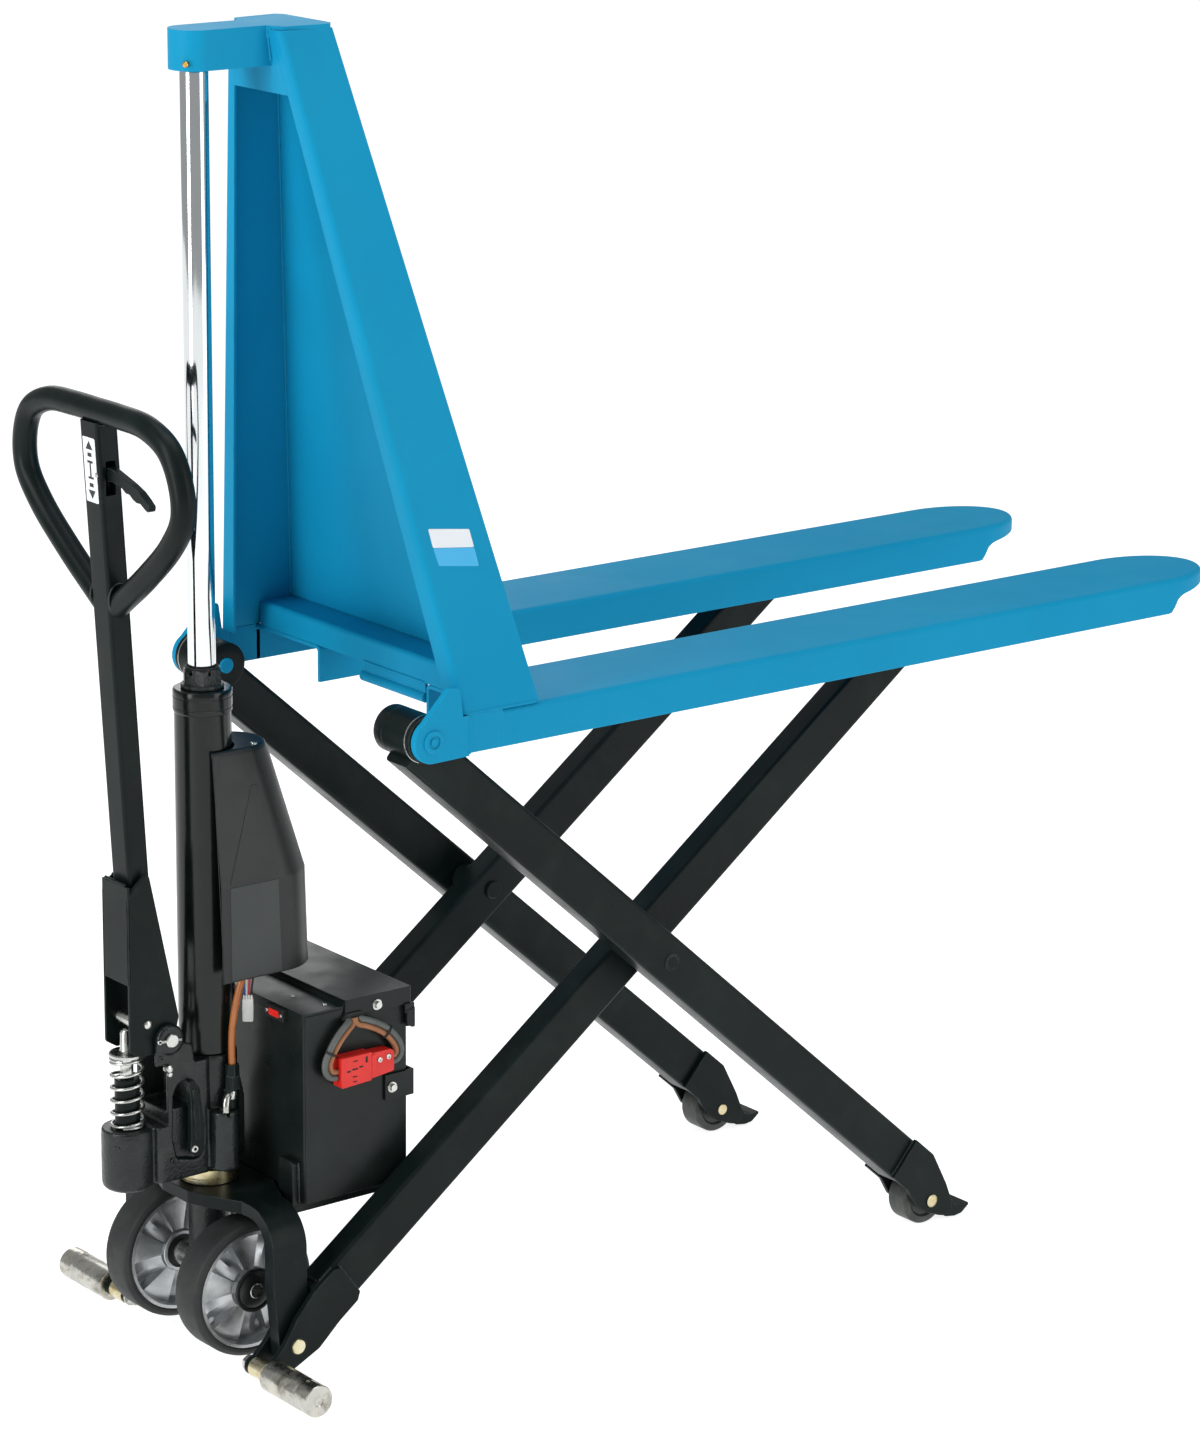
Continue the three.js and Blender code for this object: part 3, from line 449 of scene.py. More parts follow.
def box(bm, x0, x1, y0, y1, z0, z1, r=0.0, axis="z"):
    if axis == "z":
        pts = [(x0, y0), (x1, y0), (x1, y1), (x0, y1)]
        return prism(bm, "z", fillet(pts, r) if r else pts, z0, z1)
    if axis == "y":
        pts = [(x0, z0), (x1, z0), (x1, z1), (x0, z1)]
        return prism(bm, "y", fillet(pts, r) if r else pts, y0, y1)
    pts = [(y0, z0), (y1, z0), (y1, z1), (y0, z1)]
    return prism(bm, "x", fillet(pts, r) if r else pts, x0, x1)


def basis(d, hint=None):
    d = d.normalized()
    h = hint or (Vector((0, 0, 1)) if abs(d.z) < 0.9 else Vector((1, 0, 0)))
    u = (h - d * h.dot(d)).normalized()
    return u, d.cross(u)


def lathe(bm, o, d, prof, n=64, closed=None, radial=None):
    """Turned shape: prof is [(radius, distance along d)], from o."""
    o, d = Vector(o), Vector(d).normalized()
    u, v = basis(d)
    rings = []
    for r, h in prof:
        if r < 1e-4:
            rings.append([bm.verts.new(o + d * h)])
        else:
            ring = []
            for i in range(n):
                a = 2 * math.pi * i / n
                rr = r if radial is None else radial(r, h, a)
                ring.append(bm.verts.new(o + d * h + (u * math.cos(a) + v * math.sin(a)) * rr))
            rings.append(ring)
    loop = closed if closed is not None else (prof[0][0] > 1e-4 or prof[-1][0] > 1e-4)
    pairs = list(zip(rings, rings[1:])) + ([(rings[-1], rings[0])] if loop else [])
    for a, b in pairs:
        if len(a) == 1 and len(b) == 1:
            continue
        for i in range(n):
            j = (i + 1) % n
            if len(a) == 1:
                bm.faces.new((a[0], b[i], b[j]))
            elif len(b) == 1:
                bm.faces.new((a[i], a[j], b[0]))
            else:
                bm.faces.new((a[i], a[j], b[j], b[i]))
    return bm


def rod(bm, a, b, r, n=48, ch=0.8):
    a, b = Vector(a), Vector(b)
    L = (b - a).length
    ch = min(ch, r * 0.4, L * 0.3)
    return lathe(bm, a, b - a, [(0, 0), (r - ch, 0), (r - ch * 0.3, ch * 0.3), (r, ch), (r, L - ch), (r - ch * 0.3, L - ch * 0.3), (r - ch, L), (0, L)], n, closed=False)


def hexagon(bm, o, d, af, h, cham=True, turn=0.0):
    """Hexagon head or nut with a chamfered top."""
    o, d = Vector(o), Vector(d).normalized()
    u, v = basis(d)
    R = af / 2 / math.cos(math.pi / 6)
    rows = []
    for hh, s in ((0, 1), (h * 0.82, 1), (h, 0.86)) if cham else ((0, 1), (h, 1)):
        ring = []
        for i in range(24):
            a = turn + i * math.pi / 12
            k = ((a - turn) % (math.pi / 3)) - math.pi / 6
            r = af / 2 / math.cos(k)
            r = min(r, R * (0.995 if s == 1 else 0.9))
            ring.append(bm.verts.new(o + d * hh + (u * math.cos(a) + v * math.sin(a)) * r * (1 if s == 1 else 0.97)))
        rows.append(ring)
    for a, b in zip(rows, rows[1:]):
        for i in range(24):
            j = (i + 1) % 24
            bm.faces.new((a[i], a[j], b[j], b[i]))
    bm.faces.new(rows[0])
    bm.faces.new(rows[-1])
    return bm


def spline(pts, per=8, closed=False):
    P = [Vector(p) for p in pts]
    n = len(P)
    get = (lambda i: P[i % n]) if closed else (lambda i: P[i] if 0 <= i < n else (P[0] * 2 - P[1] if i < 0 else P[-1] * 2 - P[-2]))
    out = []
    for i in range(n if closed else n - 1):
        p0, p1, p2, p3 = get(i - 1), get(i), get(i + 1), get(i + 2)
        t0 = 0.0
        t1 = t0 + max(1e-6, (p1 - p0).length ** 0.5)
        t2 = t1 + max(1e-6, (p2 - p1).length ** 0.5)
        t3 = t2 + max(1e-6, (p3 - p2).length ** 0.5)
        for k in range(per):
            t = t1 + (t2 - t1) * k / per
            a1 = p0 * ((t1 - t) / (t1 - t0)) + p1 * ((t - t0) / (t1 - t0))
            a2 = p1 * ((t2 - t) / (t2 - t1)) + p2 * ((t - t1) / (t2 - t1))
            a3 = p2 * ((t3 - t) / (t3 - t2)) + p3 * ((t - t2) / (t3 - t2))
            b1 = a1 * ((t2 - t) / (t2 - t0)) + a2 * ((t - t0) / (t2 - t0))
            b2 = a2 * ((t3 - t) / (t3 - t1)) + a3 * ((t - t1) / (t3 - t1))
            out.append(b1 * ((t2 - t) / (t2 - t1)) + b2 * ((t - t1) / (t2 - t1)))
    if not closed:
        out.append(P[-1].copy())
    return out


def sweep(bm, path, r, n=16, caps=True, radii=None, hint=None, closed=False):
    P = [Vector(p) for p in path]
    m = len(P)
    tans = []
    for i in range(m):
        if closed:
            tans.append((P[(i + 1) % m] - P[i - 1]).normalized())
        else:
            tans.append((P[min(m - 1, i + 1)] - P[max(0, i - 1)]).normalized())
    u, _ = basis(tans[0], hint)
    rings = []
    for i in range(m):
        if i:
            u = (u - tans[i] * u.dot(tans[i])).normalized()
        v = tans[i].cross(u)
        rr = radii[i] if radii else r
        if callable(r):
            ring = [bm.verts.new(P[i] + u * a + v * b) for a, b in r(i)]
        else:
            ring = [bm.verts.new(P[i] + (u * math.cos(2 * math.pi * k / n) + v * math.sin(2 * math.pi * k / n)) * rr) for k in range(n)]
        rings.append(ring)
    pairs = list(zip(rings, rings[1:])) + ([(rings[-1], rings[0])] if closed else [])
    for a, b in pairs:
        for k in range(len(a)):
            j = (k + 1) % len(a)
            bm.faces.new((a[k], a[j], b[j], b[k]))
    if caps and not closed:
        bm.faces.new(rings[0])
        bm.faces.new(rings[-1])
    return bm


def loft(bm, sections, cap=True):
    rings = [[bm.verts.new(Vector(p)) for p in s] for s in sections]
    n = len(rings[0])
    for a, b in zip(rings, rings[1:]):
        for i in range(n):
            j = (i + 1) % n
            bm.faces.new((a[i], a[j], b[j], b[i]))
    if cap:
        bm.faces.new(rings[0])
        bm.faces.new(rings[-1])
    return bm


def weld(bm, path, r=2.2, n=8, step=2.4):
    """A bead laid along a path, with its ripples."""
    P = [Vector(p) for p in path]
    pts = [P[0]]
    for a, b in zip(P, P[1:]):
        k = max(1, int((b - a).length / step))
        pts += [a.lerp(b, (i + 1) / k) for i in range(k)]
    radii = [r * (0.82 + 0.3 * (i % 2) + RNG.uniform(-0.1, 0.1)) * (0.6 if i in (0, len(pts) - 1) else 1) for i in range(len(pts))]
    return sweep(bm, pts, r, n, radii=radii)


def bolt(bm, o, d, af, h, washer=True, shank=0):
    o, d = Vector(o), Vector(d).normalized()
    if washer:
        lathe(bm, o, d, [(0, 0), (af * 0.78, 0), (af * 0.8, 0.5), (af * 0.78, 1.2), (0, 1.2)], 32, closed=False)
        o = o + d * 1.2
    return hexagon(bm, o, d, af, h)


def screw(bm, o, d, r, h, socket=True):
    """Round head with a hexagon socket."""
    o, d = Vector(o), Vector(d).normalized()
    u, v = basis(d)
    if not socket:
        return lathe(bm, o, d, [(0, 0), (r, 0), (r, h * 0.4), (r * 0.8, h * 0.85), (r * 0.4, h), (0, h)], 28, closed=False)
    n = 24
    prof = [(r, 0), (r, h * 0.5), (r * 0.92, h * 0.85), (r * 0.75, h)]
    rings = [[bm.verts.new(o + d * hh + (u * math.cos(2 * math.pi * i / n) + v * math.sin(2 * math.pi * i / n)) * rr) for i in range(n)] for rr, hh in prof]
    for hh in (h, h * 0.35):
        ring = []
        for i in range(n):
            a = 2 * math.pi * i / n
            k = (a % (math.pi / 3)) - math.pi / 6
            ring.append(bm.verts.new(o + d * hh + (u * math.cos(a) + v * math.sin(a)) * (r * 0.42 / math.cos(k))))
        rings.append(ring)
    for a, b in zip(rings, rings[1:]):
        for i in range(n):
            j = (i + 1) % n
            bm.faces.new((a[i], a[j], b[j], b[i]))
    bm.faces.new(rings[0])
    bm.faces.new(rings[-1])
    return bm


def outline_shell(bm, outline, profile, zb=None):
    """A plate bent down round an outline in plan. outline: [(x, y, nx, ny)] with outward normals;
    profile: [(inset, z, k)] where k 1 marks points that drop to the skirt's lower edge zb(x)."""
    rows = []
    for x, y, nx, ny in outline:
        row = []
        for inset, z, k in profile:
            zz = (zb(x) + z) if k else z
            row.append(bm.verts.new(Vector((x - nx * inset, y - ny * inset, zz))))
        rows.append(row)
    for a, b in zip(rows, rows[1:]):
        for j in range(len(profile) - 1):
            bm.faces.new((a[j], b[j], b[j + 1], a[j + 1]))
    bm.faces.new([r[0] for r in rows])
    bm.faces.new([r[-1] for r in rows])
    bm.faces.new(rows[0])
    bm.faces.new(rows[-1])
    bm.faces.new((rows[0][0], rows[-1][0], rows[-1][-1], rows[0][-1]))
    return bm


# ------------------------------------------------------------------ dimensions of the frame
FT = 863.4
T1 = (158.452, 838.633)
B = (9.12, 50.402)
C = (556.42, 471.61)


def placed(deg):
    a = math.radians(deg)
    return lambda u, v: (C[0] + u * math.cos(a) - v * math.sin(a), C[1] + u * math.sin(a) + v * math.cos(a))


A1, A2 = placed(-41.473), placed(36.974)
R1 = A1(632.905, -20.713)
T2 = A2(602.5, 5)
AX = (-3.8, 104.7)
FOOT = (-30.4, 21)
PIV = (-80, 437)
PX = -121
FUV = None


def rear_x(z):
    return 204 - 0.1449 * (z - 870)


def front_x(z):
    return 322 - 0.1936 * (z - 870)


def half_y(z):
    return 268 - 0.2564 * (z - 870)


def flange(z):
    return 31 - 0.0154 * (z - 870)


def hx(z):
    return -108 - (z - 620) * 36 / 605


SIDES = ((False, "left"), (True, "right"))

# ------------------------------------------------------------------ forks, mast and head
for flip, side in SIDES:
    bm = new()
    mid, half, nx0 = 194.2, 76.2, 1418.8
    xs = [259 + (1400 - 259) * i / 12 for i in range(13)]
    out = [(x, mid - half, 0, -1) for x in xs]
    n = 56
    for i in range(n + 1):
        a = -math.pi / 2 + math.pi * i / n
        # an elliptic nose
        ca, sa = math.cos(a), math.sin(a)
        x, y = nx0 + 112 * ca, mid + half * sa
        nxv, nyv = ca / 112, sa / half
        L = math.hypot(nxv, nyv)
        out.append((x, y, nxv / L, nyv / L))
    out += [(x, mid + half, 0, 1) for x in reversed(xs)]

    def skirt(x):
        k = [(0, 814.5), (1424, 814.5), (1429, 818), (1436, 831), (1441, 835), (1452, 838.5), (1540, 844.5)]
        for (xa, za), (xb, zb_) in zip(k, k[1:]):
            if x <= xb:
                return za + (zb_ - za) * (x - xa) / (xb - xa)
        return 844.5

    R = 7.0
    prof = [(16, FT, 0), (R, FT, 0)]
    prof += [(R - R * math.sin(math.radians(t)), FT - R + R * math.cos(math.radians(t)), 0) for t in (18, 36, 54, 72, 90)]
    prof += [(0, 0.8, 1), (0.8, 0, 1), (4.2, 0, 1), (5, 0.8, 1)]
    prof += [(5 + 3 - 3 * math.cos(math.radians(t)), FT - 8 + 3 * math.sin(math.radians(t)), 0) for t in (0, 45, 90)]
    prof += [(16, FT - 5, 0)]
    outline_shell(bm, out, prof, skirt)
    # lug carrying the pivot, and the rail that joins it to the channel
    lug = fillet(
        [*arc(T1[0], T1[1], 28, 122, 270, 30), (214, 811.5), (214, FT), (204.4, FT), (199.2, 900), (184, 903)],
        [0] * 31 + [1, 1, 1, 4, 5],
        4,
    )
    prism(bm, "y", lug, 263.2, 272)
    prism(bm, "y", [(206, 814.5), (266, 814.5), (266, FT), (206, FT)], 265.4, 270.35)
    piece(bm, "fork_" + side + "_welded", "blue", "fork_" + side, flip=flip, bevel=0.9, seg=2, angle=50)

    # side plate of the mast, its rear edge folded in
    bm = new()
    secs = []
    for z in (863.8, 1100, 1400, 1690):
        r, f, y, w = rear_x(z), front_x(z), half_y(z), flange(z)
        pts = [(r, y - w), (r + 4.5, y - w)]
        pts += fillet([(r + 4.5, y - w), (r + 4.5, y - 5), (f, y - 5)], [0, 4, 0], 5, closed=False)[1:]
        pts += [(f, y)]
        pts += fillet([(f, y), (r, y), (r, y - w)], [0, 9, 0], 8, closed=False)[1:-1]
        secs.append([Vector((p[0], p[1], z)) for p in pts])
    loft(bm, secs)
    piece(bm, "mast_side_" + side + "_folded", "blue", "mast_side_" + side, flip=flip, bevel=0.8, seg=2, angle=50)

    # weld seams of the mast foot and the lug
    bm = new()
    ys = 271.6
    weld(bm, [(rear_x(864) + 6, 268.6, FT + 1.2), (front_x(864) - 3, 268.8, FT + 1.2)], 2.0)
    weld(bm, [(front_x(866) + 0.6, 264, FT + 1), (front_x(866) + 0.6, 240, FT + 1)], 1.6)
    weld(bm, [(214.5, 271, 814), (214.5, 271, FT - 3)], 2.2)
    piece(bm, "mast_weld_" + side, "blue", (), body="forks", flip=flip, sharp=60)

    # pivot pin: plain end with a hexagon socket screw and a ring
    bm = new()
    o = (T1[0], 183, T1[1])
    lathe(bm, o, (0, 1, 0), [(0, 0), (9.2, 0), (10, 0.8), (10, 88.6), (14, 88.6), (14, 91.2), (13.2, 92), (9.5, 92), (8.8, 91), (8.8, 90), (0, 90)], 56, closed=False)
    hexagon(bm, (T1[0], 272.8, T1[1]), (0, 1, 0), 9, 1.6)
    piece(bm, "fork_pin_" + side + "_turned", "blue", "fork_pin_" + side, flip=flip, sharp=30)

# front panel of the mast
bm = new()
secs = []
for z in (897.4, 1150, 1400, 1689):
    f, y = front_x(z), half_y(z) - 5.4
    secs.append([Vector(p + (z,)) for p in ((f - 7, -y), (f - 2, -y), (f - 2, y), (f - 7, y))])
loft(bm, secs)
weld(bm, [(front_x(z) - 8, -(half_y(z) - 6), z) for z in (900, 1100, 1300, 1500, 1685)], 1.5, step=5)
weld(bm, [(front_x(z) - 8, (half_y(z) - 6), z) for z in (900, 1100, 1300, 1500, 1685)], 1.5, step=5)
piece(bm, "mast_front_panel_sheet", "blue", "mast_front_panel", bevel=0.7, seg=2, angle=60)

# folded beam across the mast foot, with the plate that hangs from it
bm = new()
bh = half_y(897) - 5.6
sect = fillet([(264, 863.8), (259, 863.8), (259, 897), (316.5, 897), (316.5, 863.8), (311.5, 863.8), (311.5, 892), (264, 892)], [0.6, 0.6, 6, 6, 0.6, 0.6, 2, 2], 5)
prism(bm, "y", sect, -bh, bh)
drop = fillet([(259.2, 866), (259.2, 846), (254.8, 838.5), (259, 838), (264, 844), (264, 866)], 1, 2)
prism(bm, "y", [(259.2, 866), (259.2, 845), (263.8, 845), (263.8, 866)], -116, 20)
lathe(bm, (261, -116, 845), (0, 1, 0), [(0, 0), (6, 0), (7, 1), (7, 137), (6, 138), (0, 138)], 32, closed=False)
piece(bm, "mast_base_beam_folded", "blue", "mast_base_beam", bevel=0.8, seg=2, angle=50)
bm = new()
weld(bm, [(258.6, -115, 864.6), (258.6, 19, 864.6)], 1.6, step=4)
weld(bm, [(300, -bh + 3, 898), (314, -bh + 3, 898), (314.5, bh - 3, 898)], 1.5, step=6)
piece(bm, "base_beam_weld", "blue", (), body="forks", sharp=60)

# head: hollow cap on the rod, its roof closing the mast top, and the plate between the flanges
bm = new()
walls = [*arc(0, 0, 31.3, 90, 270, 40), (97, -31.3), (97, 31.3)]
prism(bm, "z", walls, 1646, 1695)
ob = temp_object(bm)
roof = new()
plan = [*arc(0, 0, 31.2, 90, 270, 40), (84, -31.2), (94, -54), (158, -60), (166, -50), (166, 50), (158, 60), (94, 54), (84, 31.2)]
plan = plan[:41] + fillet(plan[41:], [8, 8, 8, 8, 8, 8, 8, 8], 6, closed=False)
prism(roof, "z", plan, 1681, 1695.2)
band = new()
secs = []
for z in (1612, 1692):
    w = half_y(z) - flange(z) - 0.2
    secs.append([Vector(p + (z,)) for p in ((rear_x(z) + 0.3, -w), (rear_x(z) + 4.6, -w), (rear_x(z) + 4.6, w), (rear_x(z) + 0.3, w))])
loft(band, secs)
hollow = new()
prism(hollow, "z", [*arc(0, 0, 28.3, 90, 270, 40), (90, -28.3), (90, 28.3)], 1640, 1687)
boolean(ob, [("UNION", roof), ("UNION", band), ("DIFFERENCE", hollow)])
b2 = new()
b2.from_mesh(ob.data)
bpy.data.objects.remove(ob)
for v in b2.verts:
    v.co = Vector(((v.co.x - OX) / MM, v.co.y / MM, v.co.z / MM))
bmesh.ops.dissolve_limit(b2, angle_limit=math.radians(1), verts=b2.verts, edges=b2.edges)
piece(b2, "mast_head_cap", "blue", "mast_head", bevel=4.5, seg=5, angle=50)
bm = new()
weld(bm, [(rear_x(1655) - 0.4, -32.5, 1652), (rear_x(1690) - 0.4, -32.5, 1690)], 1.8)
weld(bm, [(rear_x(1655) - 0.4, 32.5, 1652), (rear_x(1690) - 0.4, 32.5, 1690)], 1.8)
piece(bm, "head_weld", "blue", (), body="forks", sharp=60)
bm = new()
lathe(bm, (-22.5, -19.5, 1655), (-0.76, -0.65, 0), [(0, 0), (3.6, 0), (3.6, 7), (2.4, 8.5), (0, 8.5)], 24, closed=False)
piece(bm, "head_grub_screw", "brass", (), body="forks")

# lift rod
bm = new()
rod(bm, (0, 0, 895.5), (0, 0, 1686.7), 17.5, 96, 1.2)
piece(bm, "lift_rod_chromed", "chrome", "lift_rod", sharp=30)

# generic mark on the mast side: a white and a light blue band
for flip, side in ((True, "right"), (False, "left")):
    bm = new()
    pts = [(194.4, 1090.4), (255.3, 1082.5), (258.8, 1060.3), (197.6, 1067.2)]
    pts2 = [(197.7, 1066.6), (258.9, 1059.7), (262.1, 1036.9), (202.5, 1044.9)]

    def skin(poly, bm=bm):
        lo_ = [bm.verts.new(Vector((x, half_y(z) + 0.02, z))) for x, z in poly]
        hi_ = [bm.verts.new(Vector((x, half_y(z) + 0.22, z))) for x, z in poly]
        fs = [bm.faces.new(lo_), bm.faces.new(hi_)]
        for i in range(len(poly)):
            j = (i + 1) % len(poly)
            fs.append(bm.faces.new((lo_[i], lo_[j], hi_[j], hi_[i])))
        return fs

    skin(fillet(pts, 1.5, 3))
    piece(bm, "mast_mark_white_" + side, "white_film", (), body="forks", flip=flip)
    bm = new()
    skin(fillet(pts2, 1.5, 3), bm)
    piece(bm, "mast_mark_pale_" + side, "pale_film", (), body="forks", flip=flip)


# ------------------------------------------------------------------ scissor arms
def arm_tube(bm, f, u0, u1, y0, y1, h=30.0, r=6.5, wall=0.0, steps=2):
    def ring(u, inset):
        a, b, c, d = y0 + inset, y1 - inset, -h + inset, h - inset
        rr = max(0.5, r - inset)
        pts = fillet([(a, c), (b, c), (b, d), (a, d)], rr, 5)
        out_ = []
        for y, v in pts:
            x, z = f(u, v)
            out_.append(bm.verts.new(Vector((x, y, z))))
        return out_

    outer = [ring(u0 + (u1 - u0) * i / steps, 0) for i in range(steps + 1)]
    n = len(outer[0])
    for a, b in zip(outer, outer[1:]):
        for i in range(n):
            j = (i + 1) % n
            bm.faces.new((a[i], a[j], b[j], b[i]))
    if wall:
        inner = [ring(u0 + (u1 - u0) * i / steps, wall) for i in range(steps + 1)]
        for a, b in zip(inner, inner[1:]):
            for i in range(n):
                j = (i + 1) % n
                bm.faces.new((a[i], a[j], b[j], b[i]))
        for e in (0, -1):
            for i in range(n):
                j = (i + 1) % n
                bm.faces.new((outer[e][i], outer[e][j], inner[e][j], inner[e][i]))
    else:
        bm.faces.new(outer[0])
        bm.faces.new(outer[-1])
    return bm


def uv(f, pts):
    return [f(u, v) for u, v in pts]


for flip, side in SIDES:
    # outer arm: square tube welded to the pivot boss
    bm = new()
    arm_tube(bm, A1, -541.247 + 4, 566, 203.8, 251.4)
    piece(bm, "outer_arm_" + side + "_tube", "black", "outer_arm_" + side, flip=flip, sharp=50)
    bm = new()
    t1 = Vector((T1[0], 0, T1[1]))
    lathe(bm, t1 + Vector((0, 185.4, 0)), (0, 1, 0),
          [(11, 0.6), (28.4, 0.6), (29.4, 1.0), (30, 2.2), (30, 17.2), (29.2, 17.6), (29.2, 18.4), (30, 18.8), (30, 66.4), (29.2, 66.8), (29.2, 67.8), (30, 68.2), (30, 75), (29.2, 76.2), (27.8, 76.8), (11, 76.8)], 96)
    piece(bm, "outer_arm_boss_" + side, "black", (), body=body_of("outer_arm_" + side), flip=flip, sharp=30)
    # retaining ring round the boss
    bm = new()
    lathe(bm, t1 + Vector((0, 252.0, 0)), (0, 1, 0), [(29.6, 0), (30.7, 0.2), (30.9, 0.9), (30.7, 1.6), (29.6, 1.8)], 96)
    piece(bm, "boss_ring_" + side, "steel", (), body=body_of("outer_arm_" + side), flip=flip)
    bm = new()
    pts = []
    for v, y in ((-29, 205), (-29, 250), (29, 250), (29, 205)):
        pts.append((v, y))
    c = Vector((T1[0], 0, T1[1]))

    def on_boss(v, y):
        u = -541.247 + math.sqrt(max(0.0, 30.4**2 - (v - 11.432) ** 2)) if abs(v - 11.432) < 30.3 else -541.247
        x, z = A1(u, v)
        return (x, y, z)

    weld(bm, [on_boss(v, 252.0) for v in (-17, -10, 0, 10, 20, 29)], 2.0, step=2.2)
    weld(bm, [on_boss(v, 203.2) for v in (-17, -10, 0, 10, 20, 29)], 2.0, step=2.2)
    piece(bm, "boss_weld_" + side, "cast", (), body=body_of("outer_arm_" + side), flip=flip, sharp=70)

    # scissor pin with its ring face
    bm = new()
    cc = Vector((C[0], 0, C[1]))
    lathe(bm, cc + Vector((0, 134, 0)), (0, 1, 0),
          [(0, 0), (11, 0), (12, 1), (12, 44.2), (20, 44.2), (21, 45.2), (21, 68.3), (20, 69.3), (12, 69.3), (12, 118.2), (11.2, 119), (9.4, 119), (8.8, 118.2), (8.2, 118.8), (0, 119)], 56, closed=False)
    piece(bm, "scissor_pin_" + side + "_turned", "black", "scissor_pin_" + side, flip=flip, sharp=30)

    # load roller, its axle and its bracket
    bm = new()
    rr = 36.9
    lathe(bm, (R1[0], 0, R1[1]), (0, 1, 0),
          [(9, 209), (14, 208.6), (15, 209.6), (15, 212), (24, 212), (27, 209.4), (33.5, 209.2), (35.6, 210), (rr, 212), (rr, 243), (35.6, 245), (33.5, 245.8), (27, 245.6), (24, 243), (15, 243), (15, 245.4), (14, 246.4), (9, 246)], 72)
    piece(bm, "load_roller_" + side + "_turned", "poly", "load_roller_" + side, flip=flip, sharp=30)
    bm = new()
    rod(bm, (R1[0], 194.6, R1[1]), (R1[0], 260.8, R1[1]), 8, 40, 1.0)
    lathe(bm, (R1[0], 259.6, R1[1]), (0, 1, 0), [(8.0, 0), (8.8, 0.2), (8.8, 1.0), (8.0, 1.15)], 40)
    piece(bm, "roller_axle_" + side + "_turned", "zinc", "roller_axle_" + side, flip=flip, sharp=30)

    bm = new()
    cheek = [(548, 31), (590, 31), (640, 12), (668, -2), (676, -12), (672, -24), (660, -30), (636, -38), (612, -40), (585, -31), (548, -31)]
    ck = fillet(uv(A1, cheek), [1, 10, 25, 8, 6, 7, 10, 20, 14, 12, 1], 6)
    prism(bm, "y", ck, 251.8, 258.8)
    prism(bm, "y", ck, 196.4, 203.4)
    piece(bm, "toe_bracket_" + side + "_plates", "black", "toe_bracket_" + side, flip=flip, bevel=0.9, seg=2, angle=40)
    bm = new()
    wb = fillet(uv(A1, [(567, 31), (590, 31), (597, 27), (580, 23), (575, -10), (567, -10)]), [1, 6, 2, 6, 1, 1], 4)
    prism(bm, "y", wb, 203.0, 252.2)
    toe = fillet(uv(A1, [(666, 0), (678, -4), (690, 2), (697, 12), (700, 10), (697, -6), (688, -16), (672, -26), (668, -20), (671, -12)]), [1, 8, 10, 1, 2, 12, 10, 4, 2, 2], 5)
    prism(bm, "y", toe, 197, 258.4)
    piece(bm, "toe_scoop_" + side, "black", (), body=body_of("toe_bracket_" + side), flip=flip, bevel=0.9, seg=2, angle=40)
    bm = new()
    weld(bm, [(A1(548, -27)[0], 252.4, A1(548, -27)[1]), (A1(548, 27)[0], 252.4, A1(548, 27)[1])], 2.0)
    weld(bm, [(A1(549, 29.2)[0], 252.6, A1(549, 29.2)[1]), (A1(564, 29.2)[0], 252.6, A1(564, 29.2)[1])], 1.2)
    weld(bm, [(A1(566, 29.6)[0], 206, A1(566, 29.6)[1]), (A1(566, 29.6)[0], 249, A1(566, 29.6)[1])], 1.2)
    piece(bm, "toe_weld_" + side, "cast", (), body=body_of("toe_bracket_" + side), flip=flip, sharp=70)

    # inner arm: tube with a shaped open end at the fork roller
    bm = new()
    arm_tube(bm, A2, -690.579 + 75.4, 617, 138.8, 177.7, r=5.5, wall=4.5)
    knife = new()
    prism(knife, "y", uv(A2, [(594, 32), (618, 14), (622, 8), (622, -14), (607, -32), (660, -42), (660, 42)]), 130, 185)
    piece(bm, "inner_arm_" + side + "_tube", "black", "inner_arm_" + side, flip=flip, bevel=0.8, seg=2, angle=55, cut=[("DIFFERENCE", knife)])

    # clevis bracket with foot
    bu, bv = -690.579, -7.332
    a_ = -math.radians(36.974)
    dx, dz = FOOT[0] - C[0], FOOT[1] - C[1]
    fu, fv = dx * math.cos(a_) - dz * math.sin(a_), dx * math.sin(a_) + dz * math.cos(a_)

    def clevis(far):
        return fillet(
            uv(A2, [(fu - 11, fv - 10), (fu + 2, fv - 15), (bu + 20, bv - 28), (bu + 62, -31), (far - 10, -31), (far, -24), (far, 24), (far - 10, 31), (bu + 62, 31), (bu + 22, bv + 30), (bu - 14, bv + 16), (fu - 14, fv + 8)]),
            [9, 9, 22, 14, 3, 3, 3, 3, 16, 18, 22, 9], 6)

